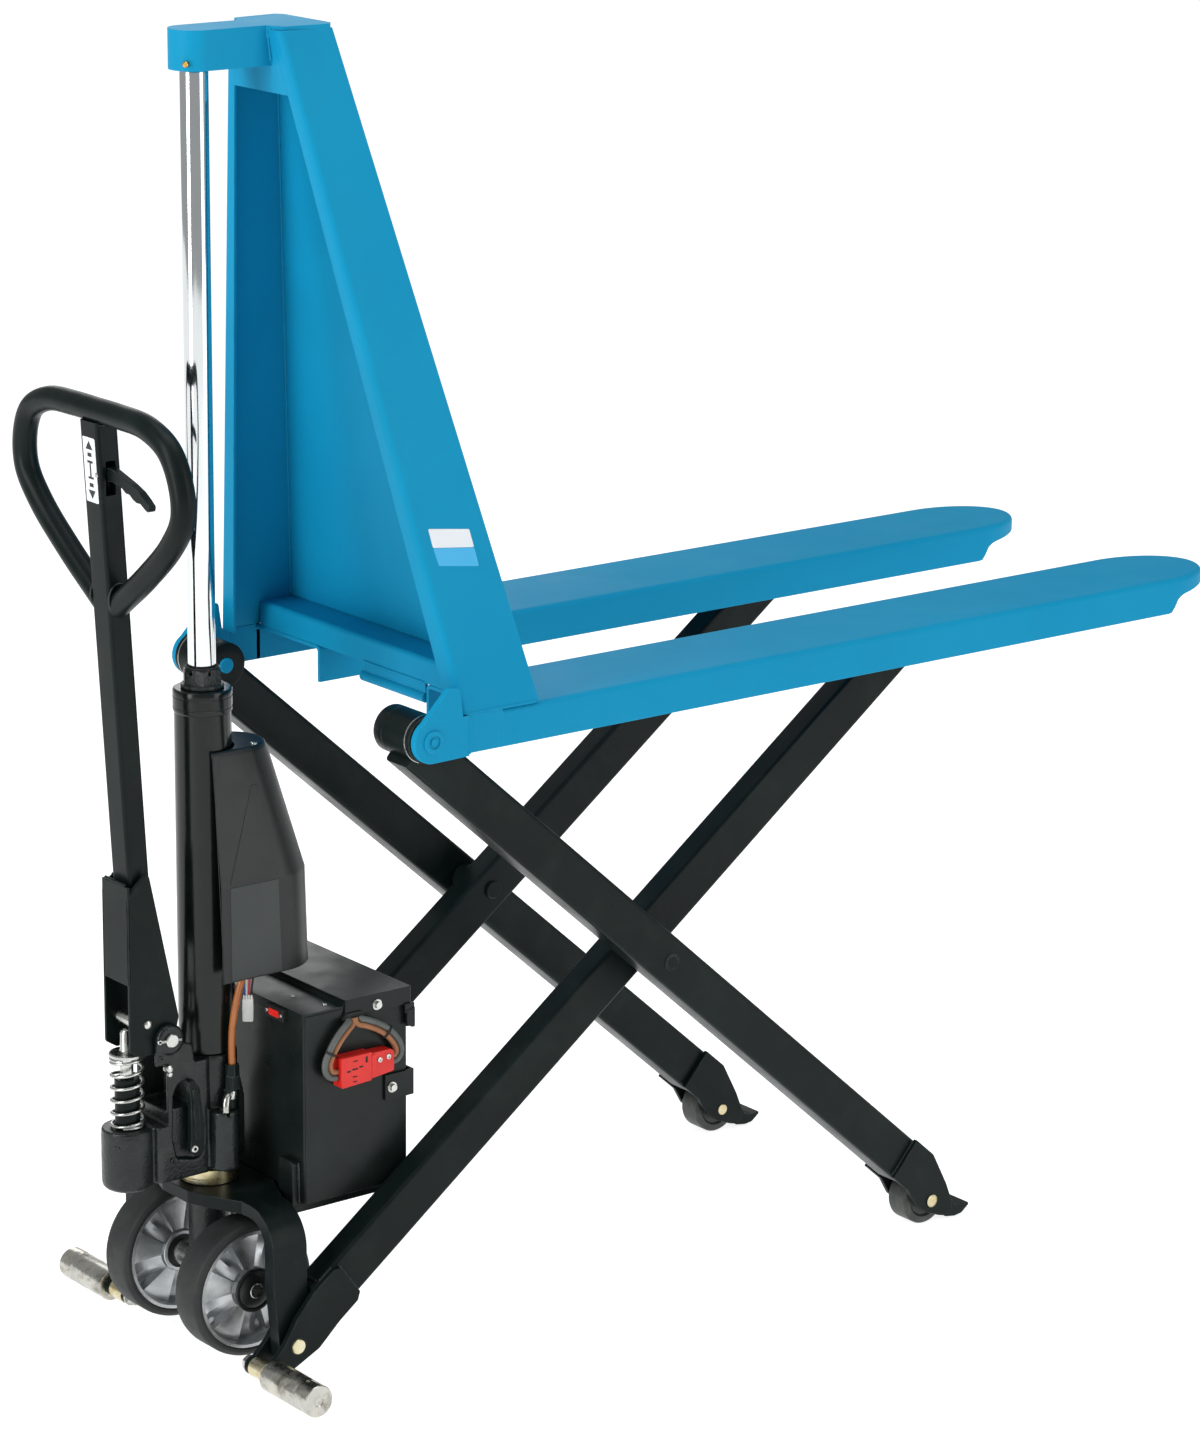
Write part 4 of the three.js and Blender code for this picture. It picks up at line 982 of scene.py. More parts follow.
    bm = new()
    prism(bm, "y", clevis(bu + 108), 178.1, 187)
    piece(bm, "arm_bracket_" + side + "_plates", "black", "arm_bracket_" + side, flip=flip, bevel=1.0, seg=2, angle=40)
    bm = new()
    prism(bm, "y", clevis(bu + 74.4), 142, 150)
    wbp = uv(A2, [(bu + 62, -30), (bu + 74.0, -30), (bu + 74.0, 30), (bu + 62, 30)])
    prism(bm, "y", fillet(wbp, 1.5, 3), 149.6, 178.4)
    piece(bm, "arm_bracket_inner_" + side, "black", (), body=body_of("arm_bracket_" + side), flip=flip, bevel=1.0, seg=2, angle=40)
    bm = new()
    e = A2(bu + 109, -26), A2(bu + 109, 26)
    weld(bm, [(e[0][0], 178.3, e[0][1]), (e[1][0], 178.3, e[1][1])], 2.1)
    e = A2(bu + 76, 30.8), A2(bu + 100, 30.8)
    weld(bm, [(e[0][0], 178.6, e[0][1]), (e[1][0], 178.6, e[1][1])], 1.8)
    e = A2(bu + 75.4, 31), A2(bu + 75.4, 31)
    weld(bm, [(e[0][0], 144, e[0][1]), (e[0][0], 176, e[0][1])], 2.0)
    piece(bm, "bracket_weld_" + side, "cast", (), body=body_of("arm_bracket_" + side), flip=flip, sharp=70)

    # foot: turned bar, spacer between the plates and a bolt head
    o = (FOOT[0], 0, FOOT[1])
    bm = new()
    lathe(bm, o, (0, 1, 0), [(0, 186.9), (20.2, 187.2), (21, 188.2), (21, 262), (20.6, 263), (20.6, 264.6), (21, 265.6), (21, 288.2), (20.2, 289.4), (19, 289.8), (7, 289.5), (6, 288.9), (2, 288.7), (0, 288.2)], 72, closed=False)
    piece(bm, "foot_" + side + "_bar", "worn", "foot_" + side, flip=flip, sharp=28)
    bm = new()
    lathe(bm, o, (0, 1, 0), [(0, 149.6), (12.6, 149.8), (13.2, 150.6), (13.2, 177.4), (12.6, 178.2), (0, 178.4)], 48, closed=False)
    piece(bm, "foot_spacer_" + side, "zinc", (), body=body_of("foot_" + side), flip=flip, sharp=28)
    bm = new()
    lathe(bm, o, (0, 1, 0), [(0, 139.8), (12.6, 139.8), (12.8, 140.6), (12.8, 142), (0, 142)], 40, closed=False)
    hexagon(bm, (FOOT[0], 139.9, FOOT[1]), (0, -1, 0), 19.5, 7.8)
    piece(bm, "foot_bolt_" + side, "steel", (), body=body_of("foot_" + side), flip=flip, sharp=28)

    # fork roller
    bm = new()
    lathe(bm, (T2[0], 0, T2[1]), (0, 1, 0),
          [(0, 136), (7.2, 136), (8, 136.8), (8, 179.4), (18.4, 179.4), (19.4, 179.8), (20, 181), (20, 191.4), (19.4, 192.6), (18.4, 193), (11, 193), (10, 192), (0, 192)], 56, closed=False)
    piece(bm, "fork_roller_" + side + "_turned", "steel", "fork_roller_" + side, flip=flip, sharp=28)

# ------------------------------------------------------------------ yoke
bm = new()
l0, l1, zt, t, ro, ri = 153, 173, 226, 17, 52, 32
bandp = [
    *arc(l1 - ro, zt - ro, ro, 0, 90, 20), *arc(-(l1 - ro), zt - ro, ro, 90, 180, 20),
    (-l1, 29), (-l1 + 3, 26), (-l0 - 3, 26), (-l0, 29),
    *arc(-(l0 - ri), zt - t - ri, ri, 180, 90, 14), *arc(l0 - ri, zt - t - ri, ri, 90, 0, 14),
    (l0, 29), (l0 + 3, 26), (l1 - 3, 26), (l1, 29),
]
prism(bm, "x", bandp, -18, 33)
ob = temp_object(bm)
k1, k2, dk, hole = new(), new(), new(), new()
prism(k1, "y", [(-60, 10), (1, 10), (-4, 26), (-9, 34), (-11, 55), (-12, 70), (-18.2, 130), (-60, 130)], -200, 200)
prism(k2, "y", [(60, 10), (14, 10), (20, 26), (26, 36), (30, 58), (31, 80), (33.2, 130), (60, 130)], -200, 200)
deck = [(-52, -30), (-44, -52), (-18, -104), (33, -118), (58, -60), (58, 60), (33, 118), (-18, 104), (-44, 52), (-52, 30)]
prism(dk, "z", fillet(deck, [14, 14, 18, 10, 14, 14, 10, 18, 14, 14], 6), zt - t, zt)
prism(hole, "z", circle(0, 0, 30, 56), zt - t - 5, zt + 5)
h2 = new()
rod(h2, (B[0], -200, B[1]), (B[0], 200, B[1]), 10.6, 40, 0.2)
boolean(ob, [("DIFFERENCE", k1), ("DIFFERENCE", k2), ("UNION", dk), ("DIFFERENCE", hole), ("DIFFERENCE", h2)])
b2 = new()
b2.from_mesh(ob.data)
bpy.data.objects.remove(ob)
for v in b2.verts:
    v.co = Vector(((v.co.x - OX) / MM, v.co.y / MM, v.co.z / MM))
bmesh.ops.dissolve_limit(b2, angle_limit=math.radians(0.5), verts=b2.verts, edges=b2.edges)
piece(b2, "yoke_forged", "black", "yoke", bevel=2.2, seg=3, angle=40)

bm = new()
lathe(bm, (0, 0, 0), (0, 0, 1), [(28.6, 226.3), (37.6, 226.3), (38.5, 227.2), (38.5, 233), (37.9, 233.6), (37.9, 234.4), (38.5, 235), (38.5, 245.8), (37.6, 246.7), (28.6, 246.7)], 96)
piece(bm, "thrust_ring_turned", "zinc", "thrust_ring", sharp=28)

for flip, side in SIDES:
    bm = new()
    lathe(bm, (B[0], 0, B[1]), (0, 1, 0), [(0, 139.6), (9, 139.6), (10, 140.6), (10, 188.2), (9.2, 189.2), (8.2, 189.4), (3, 189.1), (0, 188.8)], 56, closed=False)
    piece(bm, "main_pin_" + side + "_turned", "zinc", "main_pin_" + side, flip=flip, sharp=28)
    bm = new()
    lathe(bm, (B[0], 0, B[1]), (0, 1, 0), [(9.6, 186.6), (12.6, 186.8), (12.8, 187.6), (12.2, 188.3), (10.4, 188.4), (9.8, 187.9)], 56)
    piece(bm, "main_pin_ring_" + side, "black", (), body=body_of("main_pin_" + side), flip=flip, sharp=28)

# ------------------------------------------------------------------ battery carrier
bm = new()
box(bm, 32, 226, -118, 118, 198, 208.7)
box(bm, 59, 226, -118, 118, 208, 211.6)
box(bm, 222, 226, -118, 118, 200, 240)
for y0, y1 in ((-118, -86), (86, 118)):
    prism(bm, "x", fillet([(y0, 206), (y1, 206), (y1, 268), (y0, 268)], [1, 1, 7, 7] if y0 < 0 else [1, 1, 7, 7], 5), 49, 59.6)
piece(bm, "battery_tray_welded", "boxpaint", "battery_tray", bevel=1.0, seg=2, angle=50)
bm = new()
for s in (-1, 1):
    weld(bm, [(58.6, s * 118.6, 211), (58.6, s * 118.6, 266)], 2.6, step=2.6)
    weld(bm, [(50, s * 102, 209.6), (50, s * 117, 209.6)], 2.0)
piece(bm, "tray_weld", "cast", (), body=body_of("battery_tray"), sharp=70)

# box: folded sheet with open corner and hem line
bm = new()
x0, x1, y, z0, z1 = 60, 220, 130, 212, 470
prism(bm, "z", fillet([(x0, -y), (x1, -y), (x1, y), (x0, y)], 3.5, 5), z0, z1)
knives = []
for dims in ((124, x1 - 3, -(y - 3), y - 3, z0 + 3, z1 + 10), (x0 + 3, 130, -(y - 3), y - 3, z0 + 3, z1 - 7), (x0 - 5, 121, -y - 5, y + 5, z1 - 4, z1 + 10)):
    k = new()
    box(k, *dims)
    knives.append(("DIFFERENCE", k))
piece(bm, "battery_box_folded", "boxpaint", "battery_box", bevel=0.9, seg=2, angle=40, cut=knives)
bm = new()
prism(bm, "z", fillet([(121.6, -133.8), (223.8, -133.8), (223.8, 133.8), (121.6, 133.8)], 2.5, 5), 451, 474)
k = new()
box(k, 115, 220.6, -130.5, 130.5, 440, 470.4)
piece(bm, "battery_lid_folded", "boxpaint", "battery_lid", bevel=1.3, seg=3, angle=40, cut=[("DIFFERENCE", k)])
# hem strip along the box's rear edge, deck edge and corner tabs
bm = new()
box(bm, 58.6, 60.4, -128, 128, 452, 466.2)
box(bm, 61.5, 66.5, -131.2, -129.8, 216, 455)
box(bm, 61.5, 66.5, 129.8, 131.2, 216, 455)
box(bm, 62, 118, -131.4, -129.8, 452.5, 462.5)
box(bm, 62, 118, 129.8, 131.4, 452.5, 462.5)
piece(bm, "battery_box_hem", "boxpaint", (), body=body_of("battery_box"), bevel=0.4, seg=2, angle=50)
for nm, x0b, x1b in (("battery_front", 64, 140), ("battery_rear", 142, 216)):
    bm = new()
    prism(bm, "z", fillet([(x0b, -124), (x1b, -124), (x1b, 124), (x0b, 124)], 4, 4), 216, 430)
    for yy in (-90, 90):
        lathe(bm, ((x0b + x1b) / 2, yy, 429.5), (0, 0, 1), [(0, 0), (9, 0), (9, 6), (8, 7), (0, 7)], 28, closed=False)
    piece(bm, nm + "_case", "battery", nm, bevel=1.2, seg=2, angle=50)
bm = new()
prism(bm, "z", fillet([(183, -134), (229, -134), (229, -96), (225.6, -96), (225.6, -130.4), (183, -130.4)], [0.5, 3.5, 0.5, 0.5, 1.5, 0.5], 5), 327, 361)
piece(bm, "box_clamp_bent", "boxpaint", "box_clamp", bevel=0.6, seg=2, angle=50)

# screws and latch on the carrier
bm = new()
bolt(bm, (170.1, -133.8, 459.5), (0, -1, 0), 9, 4.2)
bolt(bm, (193.1, -134.0, 343.6), (0, -1, 0), 9, 4.2)
bolt(bm, (170.1, 133.8, 459.5), (0, 1, 0), 9, 4.2)
piece(bm, "carrier_bolts", "steel", (), body=body_of("battery_box"), sharp=28)
bm = new()
prism(bm, "z", fillet([(214, -138.6), (226, -138.6), (226, -133.6), (214, -133.6)], 1.5, 4), 422, 444)
lathe(bm, (224, -136, 446), (0, 0, -1), [(0, 0), (3.4, 0), (3.4, 26), (0, 26)], 20, closed=False)
box(bm, 212, 227, -137.2, -133.4, 440, 452, 1.4)
piece(bm, "lid_latch", "boxpaint", (), body=body_of("battery_lid"), bevel=0.6, seg=2, angle=40)

# lead entry block under the lid
bm = new()
prism(bm, "y", fillet([(117, 447), (150, 447), (150, 452), (145, 457), (122, 457), (117, 452)], 2, 4), -136.2, -129.6)
piece(bm, "lead_entry", "socket_dark", (), body=body_of("battery_box"), bevel=0.5, seg=2, angle=50)

# two-pole connector: socket half and plug half
bm = new()
prism(bm, "y", fillet([(104, 364), (150.6, 366.5), (150.6, 404), (104, 404)], [2, 0.6, 0.6, 2], 4), -150, -130.6)
k = new()
for xx in (109, 117, 125, 133, 141):
    pass
piece(bm, "battery_socket_moulding", "red", "battery_socket", bevel=0.8, seg=2, angle=50)
bm = new()
prism(bm, "y", fillet([(151, 368), (186, 372), (186, 399), (180, 402), (151, 402)], [0.6, 3, 3, 3, 0.6], 4), -149, -131)
prism(bm, "y", fillet([(150.7, 371), (158, 371), (158, 400), (150.7, 400)], 1, 3), -150.4, -131.5)
piece(bm, "battery_plug_moulding", "red", "battery_plug", bevel=0.8, seg=2, angle=50)
# Dark patches standing on the socket face: painted shade for the slot openings.
bm = new()
for xx, zz, w, h in ((112, 384, 6, 2.2), (120, 385.5, 9, 2.2), (131, 387, 6, 2.2), (122, 396.5, 7, 1.6), (121, 376, 7, 1.6), (121.5, 369.2, 6, 1.6), (141, 392, 3, 8)):
    box(bm, xx, xx + w, -150.25, -149.6, zz, zz + h, 0.6, axis="y")
piece(bm, "socket_slot_painted_shade", "socket_dark", (), body=body_of("battery_socket"))
bm = new()
screw(bm, (163.5, -149.0, 391), (0, -1, 0), 3.6, 1.6)
screw(bm, (177.0, -149.0, 392.5), (0, -1, 0), 3.6, 1.6)
piece(bm, "plug_screws", "steel", (), body=body_of("battery_plug"), sharp=28)

# leads: a grey and a brown conductor side by side, tied with bands
FRONT = [(139, -135.6, 449.6), (139.5, -137, 445), (150, -141, 441), (168, -141, 432), (184, -141, 420), (196, -141, 404), (198.5, -141, 394), (194, -141, 386.5), (187.4, -141, 385)]
REAR = [(128, -135.6, 449.6), (127.5, -137, 445), (118, -141, 440), (106, -141, 428), (96, -141, 414), (89, -141, 400), (89, -141, 390), (94, -141, 383), (102.6, -141, 381)]


def offset_path(path, d):
    P = spline(path, 8)
    out_ = []
    for i, p in enumerate(P):
        tn = (P[min(len(P) - 1, i + 1)] - P[max(0, i - 1)]).normalized()
        nrm = Vector((-tn.z, 0, tn.x))
        if nrm.length < 1e-3:
            nrm = Vector((1, 0, 0))
        out_.append(p + nrm.normalized() * d)
    return out_


for nm, path, s in (("front", FRONT, 1), ("rear", REAR, -1)):
    bm = new()
    sweep(bm, offset_path(path, 4.0 * s), 4.1, 18)
    piece(bm, "lead_grey_" + nm, "grey_cable", "battery_lead_" + nm, sharp=60)
    bm = new()
    sweep(bm, offset_path(path, -4.0 * s), 3.7, 18)
    piece(bm, "lead_brown_" + nm, "brown_cable", (), body=body_of("battery_lead_" + nm), sharp=60)
    bm = new()
    P = spline(path, 8)
    i = 30 if s > 0 else 34
    for kk in (i,):
        tn = (P[kk + 1] - P[kk - 1]).normalized()
        u = Vector((-tn.z, 0, tn.x)).normalized()
        v = tn.cross(u)
        for a_off in (-1.0, 1.0):
            ring = [P[kk] + tn * a_off + u * (8.8 * math.cos(q * math.pi / 16)) + v * (5.0 * math.sin(q * math.pi / 16)) for q in range(32)]
            sweep(bm, ring, 0.75, 8, closed=True)
    piece(bm, "lead_tie_" + nm, "black_wire", (), body=body_of("battery_lead_" + nm), sharp=60)

# ------------------------------------------------------------------ steered unit: casting
bm = new()
lathe(bm, (0, 0, 0), (0, 0, 1), [(0, 247), (36.5, 247), (38, 249), (38, 398), (36, 400.3), (0, 400.3)], 64, closed=False)
ob = temp_object(bm)


def U(steps):
    return [("UNION", s) for s in steps]


parts = []
k = new()
rod(k, (0, 0, 84), (0, 0, 250), 27, 48, 2)
parts.append(("UNION", k))
k = new()
prism(k, "z", fillet([(-100, -38), (-20, -38), (-20, 38), (-100, 38)], 7, 5), 247, 400)
parts.append(("UNION", k))
k = new()
prism(k, "y", [(-42, 396), (-46, 424), *arc(PIV[0], PIV[1], 20, -20, 190, 24), (-100, 396)], -38, 38)
parts.append(("UNION", k))
k = new()
lathe(k, (PX, 0, 0), (0, 0, 1), [(0, 240), (29, 240), (33, 244), (34, 250), (34, 313), (33, 315), (34, 316.5), (32.6, 320), (0, 320)], 56, closed=False)
parts.append(("UNION", k))
k = new()
prism(k, "z", fillet([(-121, -27), (-60, -30), (-60, 30), (-121, 27)], 4, 4), 247, 304)
parts.append(("UNION", k))
k = new()
lathe(k, (-6, -46, 0), (0, 0, 1), [(0, 252), (16, 252), (18, 254), (18, 331), (0, 331)], 40, closed=False)
parts.append(("UNION", k))
k = new()
prism(k, "z", fillet([(-24, -38), (12, -38), (12, -58), (-24, -58)], 8, 5), 256, 318)
parts.append(("UNION", k))
# ring bosses round the handle pivot
for s in (-1, 1):
    k = new()
    rod(k, (PIV[0], s * 37, PIV[1]), (PIV[0], s * 41.2, PIV[1]), 18.4, 48, 1.5)
    parts.append(("UNION", k))
# web to the front, next to the hose boss
k = new()
prism(k, "y", fillet([(20, 250), (46, 250), (46, 330), (30, 400), (20, 400)], 8, 5), -16, 16)
parts.append(("UNION", k))
# bores and recesses
k = new()
rod(k, (0, 0, 122), (0, 0, 420), 21, 48, 0.1)
parts.append(("DIFFERENCE", k))
k = new()
box(k, -130, -44, -30.6, 30.6, 340, 470)
parts.append(("DIFFERENCE", k))
k = new()
rod(k, (PX, 0, 248), (PX, 0, 330), 16.8, 48, 0.1)
parts.append(("DIFFERENCE", k))
k = new()
rod(k, (AX[0], -60, AX[1]), (AX[0], 60, AX[1]), 10.5, 40, 0.1)
parts.append(("DIFFERENCE", k))
k = new()
box(k, -101, -83, -50, 50, 322, 404)
parts.append(("DIFFERENCE", k))
k = new()
prism(k, "y", fillet([(-72, 276), (-36, 268), (-31, 300), (-38, 362), (-47, 377), (-68, 377), (-76, 362), (-78, 305)], [6, 10, 14, 12, 8, 10, 10, 12], 5), -45, -31.5)
parts.append(("DIFFERENCE", k))
# vee notch in the hose boss
k = new()
prism(k, "y", [(-14, 334), (-4, 334), (-9, 322)], -70, -40)
parts.append(("DIFFERENCE", k))
boolean(ob, parts)
mo = ob.modifiers.new("r", "REMESH")
mo.mode = "VOXEL"
mo.voxel_size = 1.6 * MM
mo.adaptivity = 0
mo = ob.modifiers.new("s", "SMOOTH")
mo.factor = 0.5
mo.iterations = 4
apply(ob)
mo = ob.modifiers.new("d", "DECIMATE")
mo.ratio = 0.45
apply(ob)
b2 = new()
b2.from_mesh(ob.data)
bpy.data.objects.remove(ob)
for v in b2.verts:
    v.co = Vector(((v.co.x - OX) / MM, v.co.y / MM, v.co.z / MM))
piece(b2, "pump_casting_body", "cast", "pump_casting", sharp=60, recalc=False)

# fasteners and details of the casting
bm = new()
screw(bm, (-50.5, -42.0, 287.0), (0, -1, 0), 5.4, 5.2)
piece(bm, "valve_lever_screw", "steel", (), body=body_of("pump_casting"), sharp=28)
bm = new()
rod(bm, (-83.7, -33, 398.2), (-83.7, -43, 400.2), 4.6, 24, 1.0)
rod(bm, (-81.5, -36, 391.5), (-81.5, -41, 391.0), 3.2, 20, 0.8)
piece(bm, "casting_stud", "steel", (), body=body_of("pump_casting"), sharp=28)
bm = new()
screw(bm, (-94.2, -37.0, 414.7), (0, -1, 0), 3.6, 2.4)
screw(bm, (-79.0, -37.4, 275.0), (0, -1, 0), 3.6, 2.2)
lathe(bm, (-148, -18.0, 300), (-0.83, -0.55, 0), [(0, 0), (4.4, 0), (4.8, 1.4), (3.6, 2.6), (0, 2.2)], 24, closed=False)
piece(bm, "casting_plugs", "cast", (), body=body_of("pump_casting"), sharp=28)
# V-shaped lip on the hose boss and elbow
bm = new()
sweep(bm, spline([(-9, -55, 330), (-8, -54, 340), (-4, -51, 347), (3, -48, 350)], 6), 5.2, 20)
lathe(bm, (3, -47.5, 344), (0.15, 0.03, 1), [(0, 0), (7.4, 0), (8, 1), (8, 10), (7, 11.5), (0, 11.5)], 32, closed=False)
piece(bm, "hose_elbow", "steel", (), body=body_of("hose_fitting"), sharp=40)
bm = new()
lathe(bm, (3, -46.5, 0), (0, 0, 1), [(0, 331.3), (7, 331.3), (8, 332.3), (8, 356), (7, 357), (0, 357)], 32, closed=False)
hexagon(bm, (7, -46.5, 357), (0, 0, 1), 17.4, 17)
hexagon(bm, (7, -46.5, 374), (0, 0, 1), 16.0, 15.4, turn=0.3)
piece(bm, "hose_fitting_nut", "black", "hose_fitting", sharp=28)
bm = new()
sweep(bm, spline([(7, -46.5, 386), (6.5, -46.5, 410), (8, -47, 440), (13, -48, 470), (20, -49, 495), (30, -47, 512), (40, -44, 520)], 8), 4.6, 24)
piece(bm, "pressure_hose_tube", "copper", "pressure_hose", sharp=60)

# barrel, collar and nut
bm = new()
lathe(bm, (0, 0, 0), (0, 0, 1),
      [(21, 400.3), (34, 400.3), (36, 402.6), (36, 845), (37.2, 846.4), (37.5, 847.4), (37.5, 851), (36.9, 851.6), (36.9, 853), (37.5, 853.6), (37.5, 864.6), (36.8, 865.2), (36.8, 866.8), (37.5, 867.4), (37.5, 873), (36.8, 874.6), (35, 875.5), (21, 875.5)], 96)
piece(bm, "cylinder_barrel_tube", "barrel", "cylinder_barrel", sharp=24)
bm = new()
lathe(bm, (0, 0, 0), (0, 0, 1), [(18.2, 875.8), (26.6, 875.8), (27.2, 876.6), (27.2, 880), (26.6, 880.8), (18.2, 880.8)], 64)
hx_bm = new()
hexagon(hx_bm, (0, 0, 880.4), (0, 0, 1), 46, 20.2)
ob = temp_object(hx_bm)
k = new()
rod(k, (0, 0, 870), (0, 0, 910), 18.3, 64, 0.1)
slots = [("DIFFERENCE", k)]
for i in range(3):
    k = new()
    a = math.radians(20 + 60 * i)
    d = Vector((math.cos(a), math.sin(a), 0))
    q = Vector((-d.y, d.x, 0)) * 2.0
    c0 = [-d * 40 - q, d * 40 - q, d * 40 + q, -d * 40 + q]
    prism(k, "z", [(p.x, p.y) for p in c0], 894, 910)
    slots.append(("DIFFERENCE", k))
boolean(ob, slots)
bm2 = new()
bm2.from_mesh(ob.data)
bpy.data.objects.remove(ob)
for v in bm2.verts:
    v.co = Vector(((v.co.x - OX) / MM, v.co.y / MM, v.co.z / MM))
piece(bm2, "gland_nut_slotted", "cast", "gland_nut", bevel=0.5, seg=2, angle=40)
piece(bm, "gland_flange", "cast", (), body=body_of("gland_nut"), sharp=28)
bm = new()
lathe(bm, (0, 0, 0), (0, 0, 1), [(17.7, 897), (20.4, 897), (21.0, 898), (21.0, 902.8), (19.4, 903.1), (17.9, 901.6)], 64)
piece(bm, "rod_wiper", "rubber", (), body=body_of("gland_nut"), sharp=28)

# wheels
bm = new()
lathe(bm, (AX[0], 0, AX[1]), (0, 1, 0), [(0, -114), (9, -114), (10, -113), (10, 113), (9, 114), (0, 114)], 40, closed=False)
lathe(bm, (AX[0], 0, AX[1]), (0, 1, 0), [(10, -55), (17, -55), (17, -29), (10, -29)], 40)
lathe(bm, (AX[0], 0, AX[1]), (0, 1, 0), [(10, 29), (17, 29), (17, 55), (10, 55)], 40)
piece(bm, "steer_axle_turned", "steel", "steer_axle", sharp=28)


def spoked(bm, s):
    """Cast web with five raised wedges between pockets whose floors rise to a ridge: s picks the side, 1 out, -1 in."""
    n = 5
    turn_ = math.radians(23)
    rows = []
    radii = (28.5, 33, 40, 50, 60, 68.5, 70.8)
    for r in radii:
        q = (r - radii[0]) / (radii[-1] - radii[0])
        row = []
        for g in range(n):
            half = 0.25 - 0.04 * q  # half of the pocket's floor, as a share of the pitch
            wall_ = half + 0.035
            hi_ = 99.5 - 6.0 * q
            lo_ = 97.5 - 17.5 * min(1.0, q * 1.5)
            mid_ = lo_ + 9.0 * q
            if r > 70:
                hi_ = lo_ = mid_ = 93.0
            stops = [(0.5 - wall_, hi_), (0.5 - half, lo_), (0.5 - half * 0.5, lo_ + (mid_ - lo_) * 0.5), (0.5, mid_), (0.5 + half * 0.5, lo_ + (mid_ - lo_) * 0.5), (0.5 + half, lo_), (0.5 + wall_, hi_)]
            top_ = [(0.5 + wall_ + (1 - 2 * wall_) * k_ / 6, hi_ + 0.3) for k_ in range(1, 6)]
            for ph, h in stops + top_:
                a = turn_ + 2 * math.pi * (g + ph) / n
                hh = h if s > 0 else 164 - h
                row.append(bm.verts.new(Vector((AX[0] + r * math.cos(a), hh, AX[1] + r * math.sin(a)))))
        rows.append(row)
    m = len(rows[0])
    for a, b in zip(rows, rows[1:]):
        for i in range(m):
            j = (i + 1) % m
            bm.faces.new((a[i], a[j], b[j], b[i]))
    return rows


for flip, side in SIDES:
    bm = new()
    outer_rows = spoked(bm, 1)
    inner_rows = spoked(bm, -1)
    m = len(outer_rows[0])

    angs = [math.atan2(v.co.z - AX[1], v.co.x - AX[0]) for v in outer_rows[-1]]
    angs0 = [math.atan2(v.co.z - AX[1], v.co.x - AX[0]) for v in outer_rows[0]]

    def ringv(r, y, bm=bm, m=m):
        if r < 28:
            q = [angs0[0] + 2 * math.pi * i / m for i in range(m)]
        else:
            q = angs
        return [bm.verts.new(Vector((AX[0] + r * math.cos(a), y, AX[1] + r * math.sin(a)))) for a in q]

    chain = [outer_rows[-1], ringv(72.2, 95.5), ringv(73.2, 104.6), ringv(74.0, 106.0), ringv(78.0, 106.2), ringv(79.2, 105.2), ringv(79.2, 58.8), ringv(78.0, 57.8), ringv(74.0, 58.0), ringv(73.2, 59.4), ringv(72.2, 68.5), inner_rows[-1]]
    for a, b in zip(chain, chain[1:]):
        for i in range(m):
            j = (i + 1) % m
            bm.faces.new((a[i], a[j], b[j], b[i]))
    chain = [outer_rows[0], ringv(27.6, 104.5), ringv(26.6, 108.4), ringv(23.0, 108.6), ringv(22.4, 107.6), ringv(22.4, 100), ringv(10.7, 100), ringv(10.7, 64), ringv(22.4, 64), ringv(22.4, 60.6), ringv(23.0, 59.8), ringv(26.6, 60.0), ringv(27.6, 61), inner_rows[0]]
    for a, b in zip(chain, chain[1:]):
        for i in range(m):
            j = (i + 1) % m
            bm.faces.new((a[i], a[j], b[j], b[i]))
    piece(bm, "wheel_rim_" + side + "_cast", "alu", "wheel_rim_" + side, flip=flip, sharp=24)
    bm = new()
    tp = [(79.3, 56.6), (83, 56.0), (84.6, 56.6), (85.4, 57.6), (87.4, 58.8), (88.8, 60.8), (89.5, 64), (89.5, 100), (88.8, 103.2), (87.4, 105.2), (85.4, 106.4), (84.6, 107.4), (83, 108), (79.3, 107.4)]
    lathe(bm, (AX[0], 0, AX[1]), (0, 1, 0), tp, 120)
    piece(bm, "wheel_tyre_" + side + "_tread", "rubber", "wheel_tyre_" + side, flip=flip, sharp=40)
    bm = new()
    lathe(bm, (AX[0], 0, AX[1]), (0, 1, 0), [(0, 105), (26.6, 105), (29.2, 108.0), (29.4, 109.6), (28.2, 110.8), (25.6, 111.0), (24.4, 110.0), (23.6, 109.8), (22.6, 110.6), (18, 112.0), (10, 113.2), (0, 113.6)], 72, closed=False)
    piece(bm, "hub_cap_" + side, "plastic", (), body=body_of("wheel_rim_" + side), flip=flip, sharp=30)
    # Bearing face in dark rubber: the seal, made dark also as painted shade for the deep hub.
    bm = new()
    lathe(bm, (AX[0], 0, AX[1]), (0, 1, 0), [(10.4, 61.6), (14.0, 61.6), (14.6, 62.4), (20.8, 62.4), (21.4, 61.4), (22.3, 61.4), (22.3, 63.9), (10.4, 63.9)], 64)
    piece(bm, "wheel_bearing_" + side, "rubber", (), body=body_of("wheel_rim_" + side), flip=flip, sharp=30)
    bm = new()
    a = math.radians(-118 if flip else -118)
    lathe(bm, (AX[0] + 76.0 * math.cos(a), 0, AX[1] + 76.0 * math.sin(a)), (0, 1, 0), [(0, 105.9), (1.3, 105.9), (1.4, 107.2), (1.0, 107.9), (0, 107.9)], 16, closed=False)
    piece(bm, "rim_nipple_" + side, "steel", (), body=body_of("wheel_rim_" + side), flip=flip)


